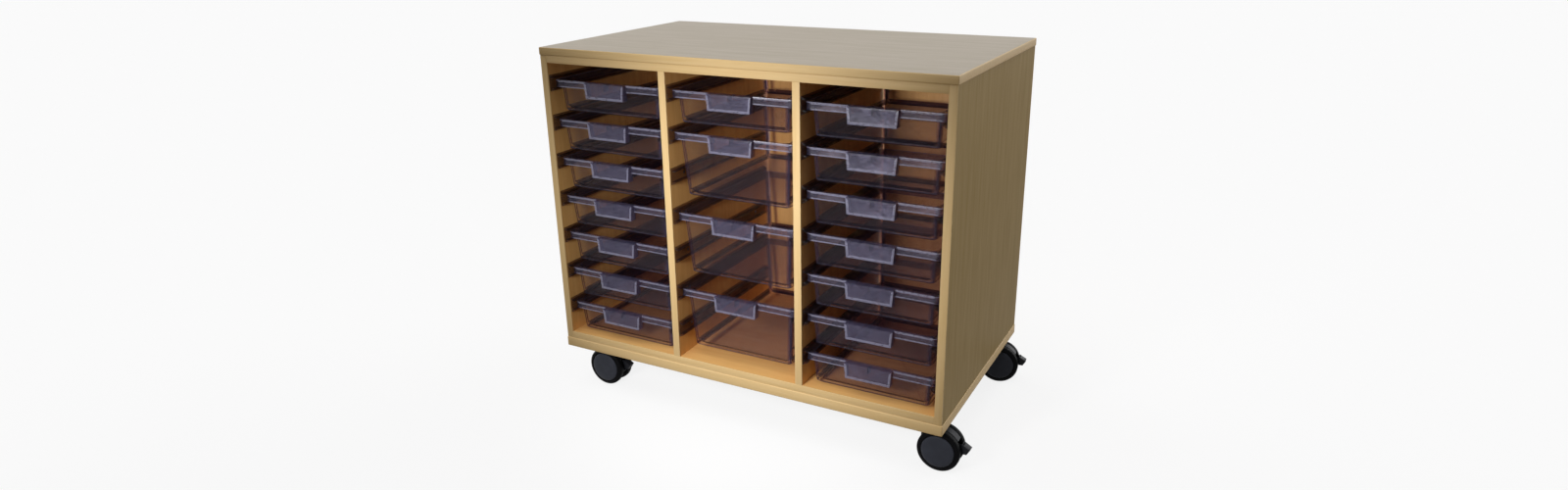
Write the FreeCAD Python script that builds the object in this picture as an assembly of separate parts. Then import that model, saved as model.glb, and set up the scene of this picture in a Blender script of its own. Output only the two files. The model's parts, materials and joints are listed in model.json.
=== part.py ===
"""Mobile tray storage unit: a three-bay laminated carcass on four twin-wheel castors.

Each bay holds clear trays that slide on C-section side runners. The frame is in
millimetres: X to the right, -Y to the front, +Z up, with the origin on the floor
under the middle of the carcass. One STEP file is written for each named piece.
"""

import FreeCAD, Part
import math
import os

Vector = FreeCAD.Vector

# ---- carcass ---------------------------------------------------------------------
WIDTH = 1030.0              # top board and base board, left to right
DEPTH = 594.0               # top board and base board, front to back
BOARD = 18.0                # laminated board
BASE_BOARD = 25.0           # the thicker board that carries the castors
OVERHANG = 1.5              # top and base boards stand proud of the carcass
BAY_HEIGHT = 698.0
BAYS = 3
EDGE_RADIUS = 2.0           # eased edges of the top and base boards
BACK_PANEL = 3.0            # thin back of each bay
BACK_SETBACK = 460.0        # board front to the face of the back panels
BACK_GAP_LEFT = 5.0         # the backs are cut narrow and stand off the left upright
BACK_GAP_RIGHT = 1.5
GROOVE_DEPTH = 5.0
GROOVE_PLAY = 0.2

# ---- trays -----------------------------------------------------------------------
ROW_PITCH = 96.0
ROWS = 7
LOWEST_TRAY_GAP = 5.5       # bay floor to the lowest tray
RIM_SETBACK = 17.0          # board front to the front of a tray's rim
RIM_WIDTH = 312.0
TRAY_LENGTH = 427.0         # handle to rear rim
SHALLOW = 75.0
DEEP = 150.0
HANDLE_REACH = 11.0         # handle's face in front of the rim
HANDLE_TOP = 113.0
HANDLE_BOTTOM = 107.0
HANDLE_HEIGHT = 37.0
LIP_HEIGHT = 17.0           # the rim's turned-down edge
LIP_WALL = 2.0
TRAY_WALL = 2.2
RIM_RADIUS = 12.0
BODY_INSET_SIDE = 13.0      # rim's outer edge to the body's side
BODY_INSET_END = 6.5
DRAFT = 0.07                # lean of the walls, per mm of height
FOOT_CHAMFER = 3.0          # outside, between wall and floor
FLOOR_CHAMFER = 10.0        # inside, between wall and floor
TRAY_PLAY = 0.2             # rim's lip above the runner's ledge

# ---- runners ---------------------------------------------------------------------
RUNNER_SETBACK = 5.0        # board front to the runner
RUNNER_LENGTH = 435.0
RUNNER_PLATE = 2.0
RUNNER_REACH = 12.5         # ledge, out from the upright
RUNNER_ABOVE = 12.0         # plate above the rim's top
RUNNER_BELOW = 27.0         # plate below the rim's top
LEDGE = 2.0
BRACE_EDGE = 1.5            # the brace meets the ledge's edge this far below it
BRACE_FOOT = 2.6            # thickness of the brace at its foot, and where it meets the ledge
BRACE_HEAD = 2.4
GUARD_REACH = 11.5          # upper flange that stops a tray tipping
GUARD_GAP = 3.5
GUARD_ROOT = 4.5            # thickness of the guard at the plate, and at its edge
GUARD_TIP = 1.8
STOP_LENGTH = 4.0           # rear stop in the channel
STOP_ABOVE = 6.0            # above the rim's top
STOP_SETBACK = 1.5          # from the guard's edge

# ---- castors ---------------------------------------------------------------------
CASTOR_HEIGHT = 112.0
WHEEL_RADIUS = 50.0
TRAIL = 34.0                # swivel axis to the wheels' axle
CASTOR_WIDTH = 62.0         # over both wheels
WHEEL_GAP = 20.0            # between the two wheels
WEB = 18.0                  # hood between the wheels
CASTOR_INSET_SIDE = 54.0    # board's side edge to the swivel axis
CASTOR_INSET_END = 63.0
PLATE_SIDE = 62.0
PLATE_THICK = 3.0
PLATE_SPACING = 46.0        # castor plate's screw holes
KINGPIN_RADIUS = 5.0
KINGPIN_FOOT = WHEEL_RADIUS + 26.0
RIVET_RADIUS = 7.0          # the kingpin's upset end under the hood
RIVET_HEIGHT = 2.5
WELL_RADIUS = 7.6           # the hollow round it
WELL_PLAY = 0.4
HEAD_RADIUS = 22.0          # the hood's swivel head
HEAD_HEIGHT = 6.9
BOSS_HALF = 11.0            # the web's upper end, under the head
BOSS_TOP = 51.5             # above the axle
BOSS_FOOT = 12.0
HOOD_SETBACK = 0.5          # the web's edge inside the wheels' edge
NOTCH_SETBACK = 6.0         # the same where the lever comes out
AXLE_RADIUS = 4.0
RUNNING_FIT = 0.06          # radial clearance of turning shafts
HUB_CAP_RADIUS = 38.0
LEVER_PIVOT = (38.0, 11.0)  # from the axle: along the trail, up
LEVER_PIN_RADIUS = 2.5
LEVER_SIDE_PLAY = 0.2       # the lever's side inside the web's
LEVER_SLOT = 12.0           # width of the slot in the hood
TONGUE_WIDTH = 11.0         # width of the lever's part in the slot
# The lever's outlines from the axle, along the trail and up.
TONGUE = ((30.0, 16.0), (34.0, 20.0), (48.0, 21.0), (54.0, 18.0), (54.0, 0.0), (46.0, 2.0))
PEDAL = ((50.5, 22.0), (56.5, 21.5), (68.6, 11.3), (60.8, -1.6), (50.5, -1.6))
AXLE_SETBACK = 4.6          # hub cap's face to the axle's end

# ---- fasteners -------------------------------------------------------------------
RUNNER_SCREW_HEAD = 3.6
RUNNER_SCREW_SHANK = 1.8
RUNNER_SCREW_LENGTH = 10.0
RUNNER_SCREW_PLACES = (0.12, 0.88)      # along the runner
CASTOR_SCREW_HEAD = 4.5
CASTOR_SCREW_SHANK = 2.2
CASTOR_SCREW_LENGTH = 18.0
DOWEL_RADIUS = 4.0
DOWEL_LENGTH = 30.0
DOWEL_IN_FACE = 11.0        # its length in a flat board's face, which keeps a skin over it
DOWEL_HOLE_PLAY = 0.5       # free length at each end
DOWEL_PLACES = (-230.0, 0.0, 230.0)     # along the depth
HOLE_PLAY = 0.05

# ---- worked-out levels and places ------------------------------------------------
Z_BASE = CASTOR_HEIGHT
Z_SHELF = Z_BASE + BASE_BOARD
Z_FLOOR = Z_SHELF + BOARD
Z_ROOF = Z_FLOOR + BAY_HEIGHT
Z_TOP_BOARD = Z_ROOF + BOARD
Z_TOP = Z_TOP_BOARD + BOARD
FRONT = -DEPTH / 2
CARCASS_HALF = WIDTH / 2 - OVERHANG
CARCASS_FRONT = FRONT + OVERHANG
CARCASS_BACK = -CARCASS_FRONT
INNER_HALF = CARCASS_HALF - BOARD
BAY_WIDTH = (2 * INNER_HALF - (BAYS - 1) * BOARD) / BAYS
BACK_Y = FRONT + BACK_SETBACK
RIM_FRONT = FRONT + RIM_SETBACK
RUNNER_FRONT = FRONT + RUNNER_SETBACK
RUNNER_BACK = RUNNER_FRONT + RUNNER_LENGTH

COLUMNS = ("left", "middle", "right")
CASTORS = {                 # swivel axis and the direction in which the wheels trail
    "front_left": (-1, -1, 0.0),
    "front_right": (1, -1, 0.0),
    "rear_right": (1, 1, 8.5),
    "rear_left": (-1, 1, 171.5),
}


def bay_left(column):
    """Left inner face of a bay."""
    return -INNER_HALF + column * (BAY_WIDTH + BOARD)


def bay_middle(column):
    """Middle of a bay."""
    return bay_left(column) + BAY_WIDTH / 2


def rim_top(row):
    """Top of the rim of the tray in a row, counted from 0 at the top."""
    lowest = Z_FLOOR + LOWEST_TRAY_GAP + SHALLOW
    return lowest + (ROWS - 1 - row) * ROW_PITCH


# Rows and depths of the trays in each bay. A deep tray hangs past the row below it.
LAYOUT = {
    0: [(row, SHALLOW) for row in range(ROWS)],
    1: [(0, SHALLOW), (1, DEEP), (3, DEEP), (5, DEEP)],
    2: [(row, SHALLOW) for row in range(ROWS)],
}


# ---- helpers ---------------------------------------------------------------------
def box(x0, x1, y0, y1, z0, z1):
    """A box between two corners."""
    return Part.makeBox(x1 - x0, y1 - y0, z1 - z0, Vector(x0, y0, z0))


def rounded_outline(half_x, y0, y1, radius, z):
    """A horizontal rounded rectangle, centred on X."""
    k = radius * (1 - math.sqrt(0.5))
    corners = [
        (half_x, y1, 1, 1), (-half_x, y1, -1, 1), (-half_x, y0, -1, -1), (half_x, y0, 1, -1),
    ]
    arcs = []
    for i, (x, y, sx, sy) in enumerate(corners):
        along_y = Vector(x, y - sy * radius, z)
        along_x = Vector(x - sx * radius, y, z)
        middle = Vector(x - sx * k, y - sy * k, z)
        first, last = (along_y, along_x) if i % 2 == 0 else (along_x, along_y)
        arcs.append((first, middle, last))
    edges = []
    for i, (first, middle, last) in enumerate(arcs):
        edges.append(Part.Arc(first, middle, last).toShape())
        edges.append(Part.LineSegment(last, arcs[(i + 1) % len(arcs)][0]).toShape())
    return Part.Wire(edges)


def slab(outline, height):
    """An outline extruded upwards."""
    return Part.Face(outline).extrude(Vector(0, 0, height))


def polygon_face(points):
    """A planar face through points."""
    return Part.Face(Part.makePolygon(list(points) + [points[0]]))


def fillet_edges(shape, radius, wanted):
    """Round the edges whose two ends both satisfy wanted."""
    edges = [e for e in shape.Edges if all(wanted(v.Point) for v in e.Vertexes)]
    return shape.makeFillet(radius, edges)


def save(name, solids):
    """Write one piece, or one group of like pieces."""
    shape = solids[0] if len(solids) == 1 else Part.makeCompound(solids)
    shape.exportStep("parts/" + name + ".step")


# ---- fastener places -------------------------------------------------------------
def uprights():
    """Every upright's name and its left and right faces."""
    names = ["left_side", "left_divider", "right_divider", "right_side"]
    faces = [(-CARCASS_HALF, -INNER_HALF)]
    for column in range(BAYS - 1):
        left = bay_left(column) + BAY_WIDTH
        faces.append((left, left + BOARD))
    faces.append((INNER_HALF, CARCASS_HALF))
    return dict(zip(names, faces))


def dowels():
    """Dowels of every board joint, as (centre, direction)."""
    places = []
    faces = uprights()
    for y in DOWEL_PLACES:
        for name, (x0, x1) in faces.items():
            outer = name.endswith("side")
            levels = (Z_SHELF, Z_TOP_BOARD) if outer else (Z_FLOOR, Z_ROOF)
            places += [(Vector((x0 + x1) / 2, y, z), Vector(0, 0, 1)) for z in levels]
        for z in (Z_SHELF + BOARD / 2, Z_ROOF + BOARD / 2):
            for x in (-INNER_HALF, INNER_HALF):
                places.append((Vector(x, y + BOARD, z), Vector(1, 0, 0)))
    return places


def dowel(centre, direction, radius, extra):
    """A dowel, or its hole when radius and length are given some play.

    Each dowel joins the edge of one board to the face of another, which takes the
    shorter part of it.
    """
    into_flat = DOWEL_IN_FACE
    into_edge = DOWEL_LENGTH - DOWEL_IN_FACE
    if direction.z:
        flat_above = centre.z in (Z_TOP_BOARD, Z_ROOF)
        up = into_flat if flat_above else into_edge
        down = into_edge if flat_above else into_flat
    else:
        flat_right = centre.x > 0
        up = into_flat if flat_right else into_edge
        down = into_edge if flat_right else into_flat
    start = centre - direction * (down + extra)
    return Part.makeCylinder(radius, up + down + 2 * extra, start, direction)


def runner_screw_places():
    """Screws of every runner, as (wall x, inward sign, y, z)."""
    places = []
    for column in range(BAYS):
        left = bay_left(column)
        for row in range(ROWS):
            z = rim_top(row) - LIP_HEIGHT / 2
            for share in RUNNER_SCREW_PLACES:
                y = RUNNER_FRONT + share * RUNNER_LENGTH
                places.append((left, 1, y, z))
                places.append((left + BAY_WIDTH, -1, y, z))
    return places


def castor_axis(name):
    """The swivel axis of a castor on the floor, and its trail direction in degrees."""
    side, end, turn = CASTORS[name]
    x = side * (WIDTH / 2 - CASTOR_INSET_SIDE)
    y = end * (DEPTH / 2 - CASTOR_INSET_END)
    return Vector(x, y, 0), turn


def castor_screw_places():
    """Tops of the castor plates' screw holes, at the underside of the base board."""
    half = PLATE_SPACING / 2
    return [
        castor_axis(name)[0] + Vector(sx * half, sy * half, Z_BASE)
        for name in CASTORS
        for sx in (-1, 1)
        for sy in (-1, 1)
    ]


def countersunk(wall, sign, y, z, play):
    """A countersunk screw whose head is flush in a runner's plate, or its hole."""
    out = Vector(sign, 0, 0)
    face = Vector(wall + sign * RUNNER_PLATE, y, z)
    head = Part.makeCone(
        RUNNER_SCREW_HEAD + play, RUNNER_SCREW_SHANK + play, RUNNER_PLATE, face, out * -1
    )
    length = RUNNER_SCREW_LENGTH + play
    shank = Part.makeCylinder(RUNNER_SCREW_SHANK + play, length, face, out * -1)
    return head.fuse(shank).removeSplitter()


def drill(board, tools):
    """Cut the tools that reach a board out of it."""
    near = [t for t in tools if t.BoundBox.intersect(board.BoundBox)]
    return board.cut(near) if near else board


# ---- carcass ---------------------------------------------------------------------
def make_carcass():
    """Boards, back panels and dowels, with every hole that their fasteners need."""
    pegs = [dowel(c, d, DOWEL_RADIUS, 0.0) for c, d in dowels()]
    holes = [dowel(c, d, DOWEL_RADIUS + HOLE_PLAY, DOWEL_HOLE_PLAY) for c, d in dowels()]
    holes += [countersunk(*place, HOLE_PLAY) for place in runner_screw_places()]
    depth = CASTOR_SCREW_LENGTH - PLATE_THICK + HOLE_PLAY
    holes += [
        Part.makeCylinder(CASTOR_SCREW_SHANK + HOLE_PLAY, depth, place)
        for place in castor_screw_places()
    ]

    boards = {}
    half = WIDTH / 2
    top = box(-half, half, FRONT, -FRONT, Z_TOP_BOARD, Z_TOP)
    boards["top_board"] = fillet_edges(top, EDGE_RADIUS, lambda p: p.z > Z_TOP - 1)
    base = box(-half, half, FRONT, -FRONT, Z_BASE, Z_SHELF)
    boards["base_board"] = fillet_edges(base, EDGE_RADIUS, lambda p: p.z > Z_SHELF - 1)

    for name, (x0, x1) in uprights().items():
        outer = name.endswith("side")
        z0, z1 = (Z_SHELF, Z_TOP_BOARD) if outer else (Z_FLOOR, Z_ROOF)
        boards[name] = box(x0, x1, CARCASS_FRONT, CARCASS_BACK, z0, z1)

    grooves = []
    panels = {}
    for column, word in enumerate(COLUMNS):
        x0 = bay_left(column) + BACK_GAP_LEFT
        x1 = bay_left(column) + BAY_WIDTH - BACK_GAP_RIGHT
        y1 = BACK_Y + BACK_PANEL
        z0, z1 = Z_FLOOR - GROOVE_DEPTH, Z_ROOF + GROOVE_DEPTH
        panels[word + "_back_panel"] = box(x0, x1, BACK_Y, y1, z0, z1)
        play = GROOVE_PLAY
        grooves.append(
            box(x0 - play, x1 + play, BACK_Y - play, y1 + play, z0 - play, z1 + play)
        )
    inner = INNER_HALF
    floor = box(-inner, inner, CARCASS_FRONT, CARCASS_BACK, Z_SHELF, Z_FLOOR)
    roof = box(-inner, inner, CARCASS_FRONT, CARCASS_BACK, Z_ROOF, Z_TOP_BOARD)
    boards["bay_floor"] = floor.cut(grooves)
    boards["bay_roof"] = roof.cut(grooves)

    for name, board in boards.items():
        save(name, [drill(board, holes)])
    for name, panel in panels.items():
        save(name, [panel])
    save("board_dowels", pegs)


# ---- runners ---------------------------------------------------------------------
def runner_section(wall, sign, rim):
    """The runner's section in the X-Z plane, at the runner's front end.

    A back plate lies on the upright. A level ledge carries the rim, braced by a
    sloping web below it, and a sloping guard above keeps a drawn-out tray from
    tipping. The brace leaves a long triangular hollow.
    """
    ledge = rim - LIP_HEIGHT - TRAY_PLAY
    bottom = rim - RUNNER_BELOW
    top = rim + RUNNER_ABOVE

    def at(reach, z):
        """A point of the section, out from the upright and up."""
        return Vector(wall + sign * reach, RUNNER_FRONT, z)

    plate = RUNNER_PLATE
    outer = [
        at(0, bottom), at(plate, bottom), at(RUNNER_REACH, ledge - LEDGE - BRACE_EDGE),
        at(RUNNER_REACH, ledge), at(plate, ledge), at(plate, top - GUARD_ROOT),
        at(GUARD_REACH, rim + GUARD_GAP), at(GUARD_REACH, rim + GUARD_GAP + GUARD_TIP),
        at(plate, top), at(0, top),
    ]
    hollow = [
        at(plate, bottom + BRACE_FOOT), at(plate, ledge - LEDGE),
        at(RUNNER_REACH - BRACE_HEAD, ledge - LEDGE),
    ]
    return polygon_face(outer).cut(polygon_face(hollow))


def make_runners():
    """Seven runners on each side of each bay, and their countersunk screws."""
    length = Vector(0, RUNNER_LENGTH, 0)
    stop_reaches = (RUNNER_PLATE / 2, GUARD_REACH - STOP_SETBACK)
    stop_front = RUNNER_BACK - STOP_LENGTH
    holes = [countersunk(*place, HOLE_PLAY) for place in runner_screw_places()]
    for column, word in enumerate(COLUMNS):
        for side, sign in (("left", 1), ("right", -1)):
            wall = bay_left(column) + (0 if sign > 0 else BAY_WIDTH)
            runners = []
            for row in range(ROWS):
                rim = rim_top(row)
                rail = runner_section(wall, sign, rim).extrude(length)
                x0, x1 = sorted(wall + sign * reach for reach in stop_reaches)
                z0 = rim - LIP_HEIGHT - TRAY_PLAY - LEDGE / 2
                stop = box(x0, x1, stop_front, RUNNER_BACK, z0, rim + STOP_ABOVE)
                runners.append(drill(rail.fuse(stop).removeSplitter(), holes))
            save("%s_bay_%s_runners" % (word, side), runners)
    save("runner_screws", [countersunk(*place, 0.0) for place in runner_screw_places()])


# ---- trays -----------------------------------------------------------------------
def tray_body(depth, wall, chamfer):
    """The tray's tapered body, inset all round by wall."""
    half = RIM_WIDTH / 2 - BODY_INSET_SIDE - wall
    front = BODY_INSET_END + wall
    back = TRAY_LENGTH - HANDLE_REACH - BODY_INSET_END - wall
    radius = RIM_RADIUS - wall
    sections = []
    bend = depth - wall - chamfer
    for drop, extra in ((0.0, 0.0), (bend, 0.0), (depth - wall, chamfer)):
        lean = drop * DRAFT + extra
        sections.append(
            rounded_outline(half - lean, front + lean, back - lean, radius, depth - drop)
        )
    return Part.makeLoft(sections, True, True)


def tray_hollow(depth):
    """The space inside a tray, open at the top."""
    half = RIM_WIDTH / 2 - BODY_INSET_SIDE - TRAY_WALL
    front = BODY_INSET_END + TRAY_WALL
    back = TRAY_LENGTH - HANDLE_REACH - front
    mouth = slab(rounded_outline(half, front, back, RIM_RADIUS - TRAY_WALL, depth), 1.0)
    return tray_body(depth, TRAY_WALL, FLOOR_CHAMFER).fuse(mouth)


def handle_block(depth, wall):
    """The handle's tapered block in front of the body, inset by wall but open below."""
    top = HANDLE_TOP / 2 - wall
    bottom = HANDLE_BOTTOM / 2 - wall
    front = wall - HANDLE_REACH
    back = BODY_INSET_END + DRAFT * HANDLE_HEIGHT + TRAY_WALL / 4
    z0 = depth - HANDLE_HEIGHT - wall
    z1 = depth - wall
    corners = [
        Vector(-top, front, z1), Vector(top, front, z1), Vector(bottom, front, z0),
        Vector(-bottom, front, z0),
    ]
    return polygon_face(corners).extrude(Vector(0, back - front, 0))


def make_tray(depth):
    """A clear tray about its rim's front middle, with its underside at z = 0."""
    length = TRAY_LENGTH - HANDLE_REACH
    half = RIM_WIDTH / 2
    ledge = slab(rounded_outline(half, 0, length, RIM_RADIUS, depth - TRAY_WALL), TRAY_WALL)
    lip = slab(rounded_outline(half, 0, length, RIM_RADIUS, depth - LIP_HEIGHT), LIP_HEIGHT)
    inside = rounded_outline(
        half - LIP_WALL, LIP_WALL, length - LIP_WALL, RIM_RADIUS - LIP_WALL, depth - LIP_HEIGHT
    )
    finger_gap = handle_block(depth, TRAY_WALL)
    lip = lip.cut([slab(inside, LIP_HEIGHT), finger_gap])
    handle = handle_block(depth, 0.0).cut(finger_gap)
    body = tray_body(depth, 0.0, FOOT_CHAMFER)
    tray = body.fuse([ledge, lip, handle]).cut(tray_hollow(depth))
    return tray.removeSplitter()


def make_trays():
    """Every tray, named by its bay and its place in it, from the top."""
    kinds = {depth: make_tray(depth) for depth in (SHALLOW, DEEP)}
    for column, word in enumerate(COLUMNS):
        for place, (row, depth) in enumerate(LAYOUT[column], start=1):
            tray = kinds[depth].copy()
            tray.translate(Vector(bay_middle(column), RIM_FRONT, rim_top(row) - depth))
            save("%s_bay_tray_%d" % (word, place), [tray])


# ---- castors ---------------------------------------------------------------------
def castor_plate():
    """A castor's fixed plate with its kingpin, about the swivel axis."""
    half = PLATE_SIDE / 2
    z0 = Z_BASE - PLATE_THICK
    plate = box(-half, half, -half, half, z0, Z_BASE)
    plate = plate.makeFillet(6.0, [e for e in plate.Edges if abs(e.tangentAt(0).z) > 0.5])
    for sx in (-1, 1):
        for sy in (-1, 1):
            place = Vector(sx * PLATE_SPACING / 2, sy * PLATE_SPACING / 2, z0)
            hole = Part.makeCylinder(CASTOR_SCREW_SHANK + HOLE_PLAY, PLATE_THICK, place)
            plate = plate.cut(hole)
    foot = Vector(0, 0, KINGPIN_FOOT)
    pin = Part.makeCylinder(KINGPIN_RADIUS, z0 - KINGPIN_FOOT, foot)
    rivet = Part.makeCylinder(RIVET_RADIUS, RIVET_HEIGHT, foot - Vector(0, 0, RIVET_HEIGHT))
    return plate.fuse([pin, rivet]).removeSplitter()


def castor_screw(place):
    """A pan-head screw up through the castor plate into the base board."""
    under = place - Vector(0, 0, PLATE_THICK)
    shank = Part.makeCylinder(CASTOR_SCREW_SHANK, CASTOR_SCREW_LENGTH, under)
    head = Part.makeCylinder(CASTOR_SCREW_HEAD, 2.5, under - Vector(0, 0, 2.5))
    head = head.makeFillet(1.0, [e for e in head.Edges if e.BoundBox.ZMax < under.z - 2])
    return shank.fuse(head).removeSplitter()


def sector(radius, first, last):
    """Points on a circle about the axle, in degrees, as offsets along the trail and up."""
    steps = max(2, int(abs(last - first) / 6))
    angles = [math.radians(first + (last - first) * i / steps) for i in range(steps + 1)]
    return [(radius * math.cos(a), radius * math.sin(a)) for a in angles]


def castor_hood():
    """The swivelling hood: a web between the wheels under a round swivel head.

    The web follows the wheels' edge over their top. It is notched where the brake
    lever comes out, and two cheeks carry the lever's trunnions.
    """
    rim = WHEEL_RADIUS - HOOD_SETBACK
    notch = WHEEL_RADIUS - NOTCH_SETBACK
    outline = [(-TRAIL - BOSS_HALF, BOSS_TOP), (-TRAIL + BOSS_HALF, BOSS_TOP)]
    outline += sector(rim, 100.0, 34.0) + sector(notch, 34.0, -34.0)
    outline += [(16.0, -16.0), (-14.0, -16.0), (-TRAIL - BOSS_HALF, BOSS_FOOT)]
    points = [Vector(TRAIL + x, -WEB / 2, WHEEL_RADIUS + z) for x, z in outline]
    web = polygon_face(points).extrude(Vector(0, WEB, 0))

    head_foot = Vector(0, 0, WHEEL_RADIUS + BOSS_TOP)
    hood = web.fuse(Part.makeCylinder(HEAD_RADIUS, HEAD_HEIGHT, head_foot))

    # The slot runs out through the notch and leaves the two cheeks.
    slot = box(
        TRAIL + 26.0, TRAIL + 60.0, -LEVER_SLOT / 2, LEVER_SLOT / 2,
        WHEEL_RADIUS - 12.0, WHEEL_RADIUS + 32.0,
    )
    bore = Part.makeCylinder(
        KINGPIN_RADIUS + RUNNING_FIT, CASTOR_HEIGHT, Vector(0, 0, KINGPIN_FOOT)
    )
    well = Part.makeCylinder(WELL_RADIUS, KINGPIN_FOOT + WELL_PLAY)
    axle = Part.makeCylinder(AXLE_RADIUS, WEB + 2, Vector(TRAIL, -WEB / 2 - 1, WHEEL_RADIUS),
                             Vector(0, 1, 0))
    trunnion = lever_pin(WEB + 2, LEVER_PIN_RADIUS + RUNNING_FIT)
    return hood.cut([slot, bore, well, axle, trunnion]).removeSplitter()


def lever_pin(length, radius):
    """A pin on the brake lever's hinge axis."""
    x, z = LEVER_PIVOT
    place = Vector(TRAIL + x, -length / 2, WHEEL_RADIUS + z)
    return Part.makeCylinder(radius, length, place, Vector(0, 1, 0))


def castor_lever():
    """The brake lever: a tongue in the hood's slot and a sloping pedal outside it."""
    def plate(outline, width):
        """An outline as a plate of a width, over the middle of the web."""
        points = [Vector(TRAIL + x, -width / 2, WHEEL_RADIUS + z) for x, z in outline]
        return polygon_face(points).extrude(Vector(0, width, 0))

    width = WEB - 2 * LEVER_SIDE_PLAY
    pin = lever_pin(width, LEVER_PIN_RADIUS)
    return plate(TONGUE, TONGUE_WIDTH).fuse([plate(PEDAL, width), pin]).removeSplitter()


def castor_wheel(side):
    """One wheel: a tyre round a domed hub that closes over the axle's end."""
    inner = WHEEL_GAP / 2
    outer = CASTOR_WIDTH / 2
    bore = AXLE_RADIUS + RUNNING_FIT
    cap = HUB_CAP_RADIUS
    radius = WHEEL_RADIUS
    profile = [
        (bore, inner), (radius - 3.5, inner), (radius - 1.0, inner + 1.2), (radius, inner + 3.5),
        (radius, outer - 9.5), (radius - 1.0, outer - 7.0), (radius - 3.5, outer - 5.2),
        (cap + 2.5, outer - 4.0), (cap + 1.2, outer - 4.6), (cap + 0.2, outer - 3.6),
        (cap - 1.5, outer - 2.0), (cap - 8.0, outer - 1.0), (cap / 2, outer - 0.2), (0.0, outer),
        (0.0, outer - 4.0), (bore, outer - 4.0),
    ]
    points = [Vector(r, 0, y) for r, y in profile]
    wheel = polygon_face(points).revolve(Vector(0, 0, 0), Vector(0, 0, 1), 360)
    wheel.rotate(Vector(0, 0, 0), Vector(1, 0, 0), 90 if side < 0 else -90)
    wheel.translate(Vector(TRAIL, 0, WHEEL_RADIUS))
    return wheel


def make_castors():
    """Four castors, each turned to its own trail direction."""
    plates = []
    axle_length = CASTOR_WIDTH - 2 * AXLE_SETBACK
    axle = Part.makeCylinder(AXLE_RADIUS, axle_length,
                             Vector(TRAIL, -axle_length / 2, WHEEL_RADIUS), Vector(0, 1, 0))
    pieces = {
        "hood": castor_hood(), "axle": axle, "brake_lever": castor_lever(),
        "wheel_a": castor_wheel(-1), "wheel_b": castor_wheel(1),
    }
    for name in CASTORS:
        place, turn = castor_axis(name)
        plate = castor_plate()
        plate.translate(place)
        plates.append(plate)
        for kind, shape in pieces.items():
            piece = shape.copy()
            piece.rotate(Vector(0, 0, 0), Vector(0, 0, 1), turn)
            piece.translate(place)
            save("%s_%s" % (name, kind), [piece])
    save("castor_plates", plates)
    save("castor_screws", [castor_screw(place) for place in castor_screw_places()])


os.makedirs("parts", exist_ok=True)
make_carcass()
make_runners()
make_trays()
make_castors()
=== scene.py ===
"""Dresses the frame of a mobile classroom tray unit.

Three open bays of a melamine-faced cabinet hold smoky clear trays on side runners, and
the unit stands on four twin-wheel castors. Lengths are in metres in the frame's own
coordinates: X to the right, -Y to the front, +Z up, with the floor at zero.
"""

from __future__ import annotations

import json
import logging
import math
from collections.abc import Callable, Iterable, Iterator
from contextlib import contextmanager
from dataclasses import dataclass
from enum import Enum

import bmesh
import bpy
from mathutils import Matrix, Vector

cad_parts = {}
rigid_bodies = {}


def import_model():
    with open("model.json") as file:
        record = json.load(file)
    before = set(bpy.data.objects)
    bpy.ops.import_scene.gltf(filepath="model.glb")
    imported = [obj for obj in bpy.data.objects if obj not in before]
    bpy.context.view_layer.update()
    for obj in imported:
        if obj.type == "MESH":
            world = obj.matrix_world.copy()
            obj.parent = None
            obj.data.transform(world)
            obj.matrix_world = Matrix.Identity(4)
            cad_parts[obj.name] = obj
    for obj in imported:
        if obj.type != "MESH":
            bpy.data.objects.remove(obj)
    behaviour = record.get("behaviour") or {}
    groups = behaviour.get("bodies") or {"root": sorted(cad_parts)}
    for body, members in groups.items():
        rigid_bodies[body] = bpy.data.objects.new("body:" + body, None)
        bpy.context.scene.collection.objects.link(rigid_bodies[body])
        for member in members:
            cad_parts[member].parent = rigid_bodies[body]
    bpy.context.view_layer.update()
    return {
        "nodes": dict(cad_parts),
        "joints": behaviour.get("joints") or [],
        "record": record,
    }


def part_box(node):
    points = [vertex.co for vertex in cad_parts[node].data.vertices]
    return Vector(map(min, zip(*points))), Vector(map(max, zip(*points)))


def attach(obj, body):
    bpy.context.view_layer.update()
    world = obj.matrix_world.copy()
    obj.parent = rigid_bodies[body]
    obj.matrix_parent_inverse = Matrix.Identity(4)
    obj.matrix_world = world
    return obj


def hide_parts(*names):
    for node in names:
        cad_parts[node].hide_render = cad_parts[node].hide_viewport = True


LOG = logging.getLogger("tray_unit")
MM = 0.001
TOUCH = 0.1 * MM  # Places nearer than this are the same.
FACING = 0.9  # A face looks along an axis when its normal passes this share of it.
SHARP_DEGREES = 30.0  # Edges sharper than this are rounded.

Colour = tuple[float, float, float, float]
Point = tuple[float, float, float]


# ---------------------------------------------------------------------------- helpers
def linear(code: str) -> Colour:
    """Turn an sRGB hex colour into linear light.

    Args:
        code: Six hex digits after a hash.

    Returns:
        Red, green, blue and an alpha of one.
    """
    parts = [int(code[i : i + 2], 16) / 255 for i in (1, 3, 5)]
    low = [c / 12.92 if c <= 0.04045 else ((c + 0.055) / 1.055) ** 2.4 for c in parts]
    return (low[0], low[1], low[2], 1.0)


def add_node(
    tree: bpy.types.NodeTree,
    kind: str,
    values: dict | None = None,
    links: dict | None = None,
    **options: object,
) -> bpy.types.Node:
    """Add a node with its settings and links.

    Args:
        tree: The node tree that it goes into.
        kind: Its type's name.
        values: Plain values of its input sockets, by name or place.
        links: Sockets that feed its inputs, by name or place.
        **options: Its own properties.

    Returns:
        The new node.
    """
    node = tree.nodes.new(kind)
    for name, value in options.items():
        setattr(node, name, value)
    for key, value in (values or {}).items():
        node.inputs[key].default_value = value
    for key, socket in (links or {}).items():
        tree.links.new(socket, node.inputs[key])
    return node


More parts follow.
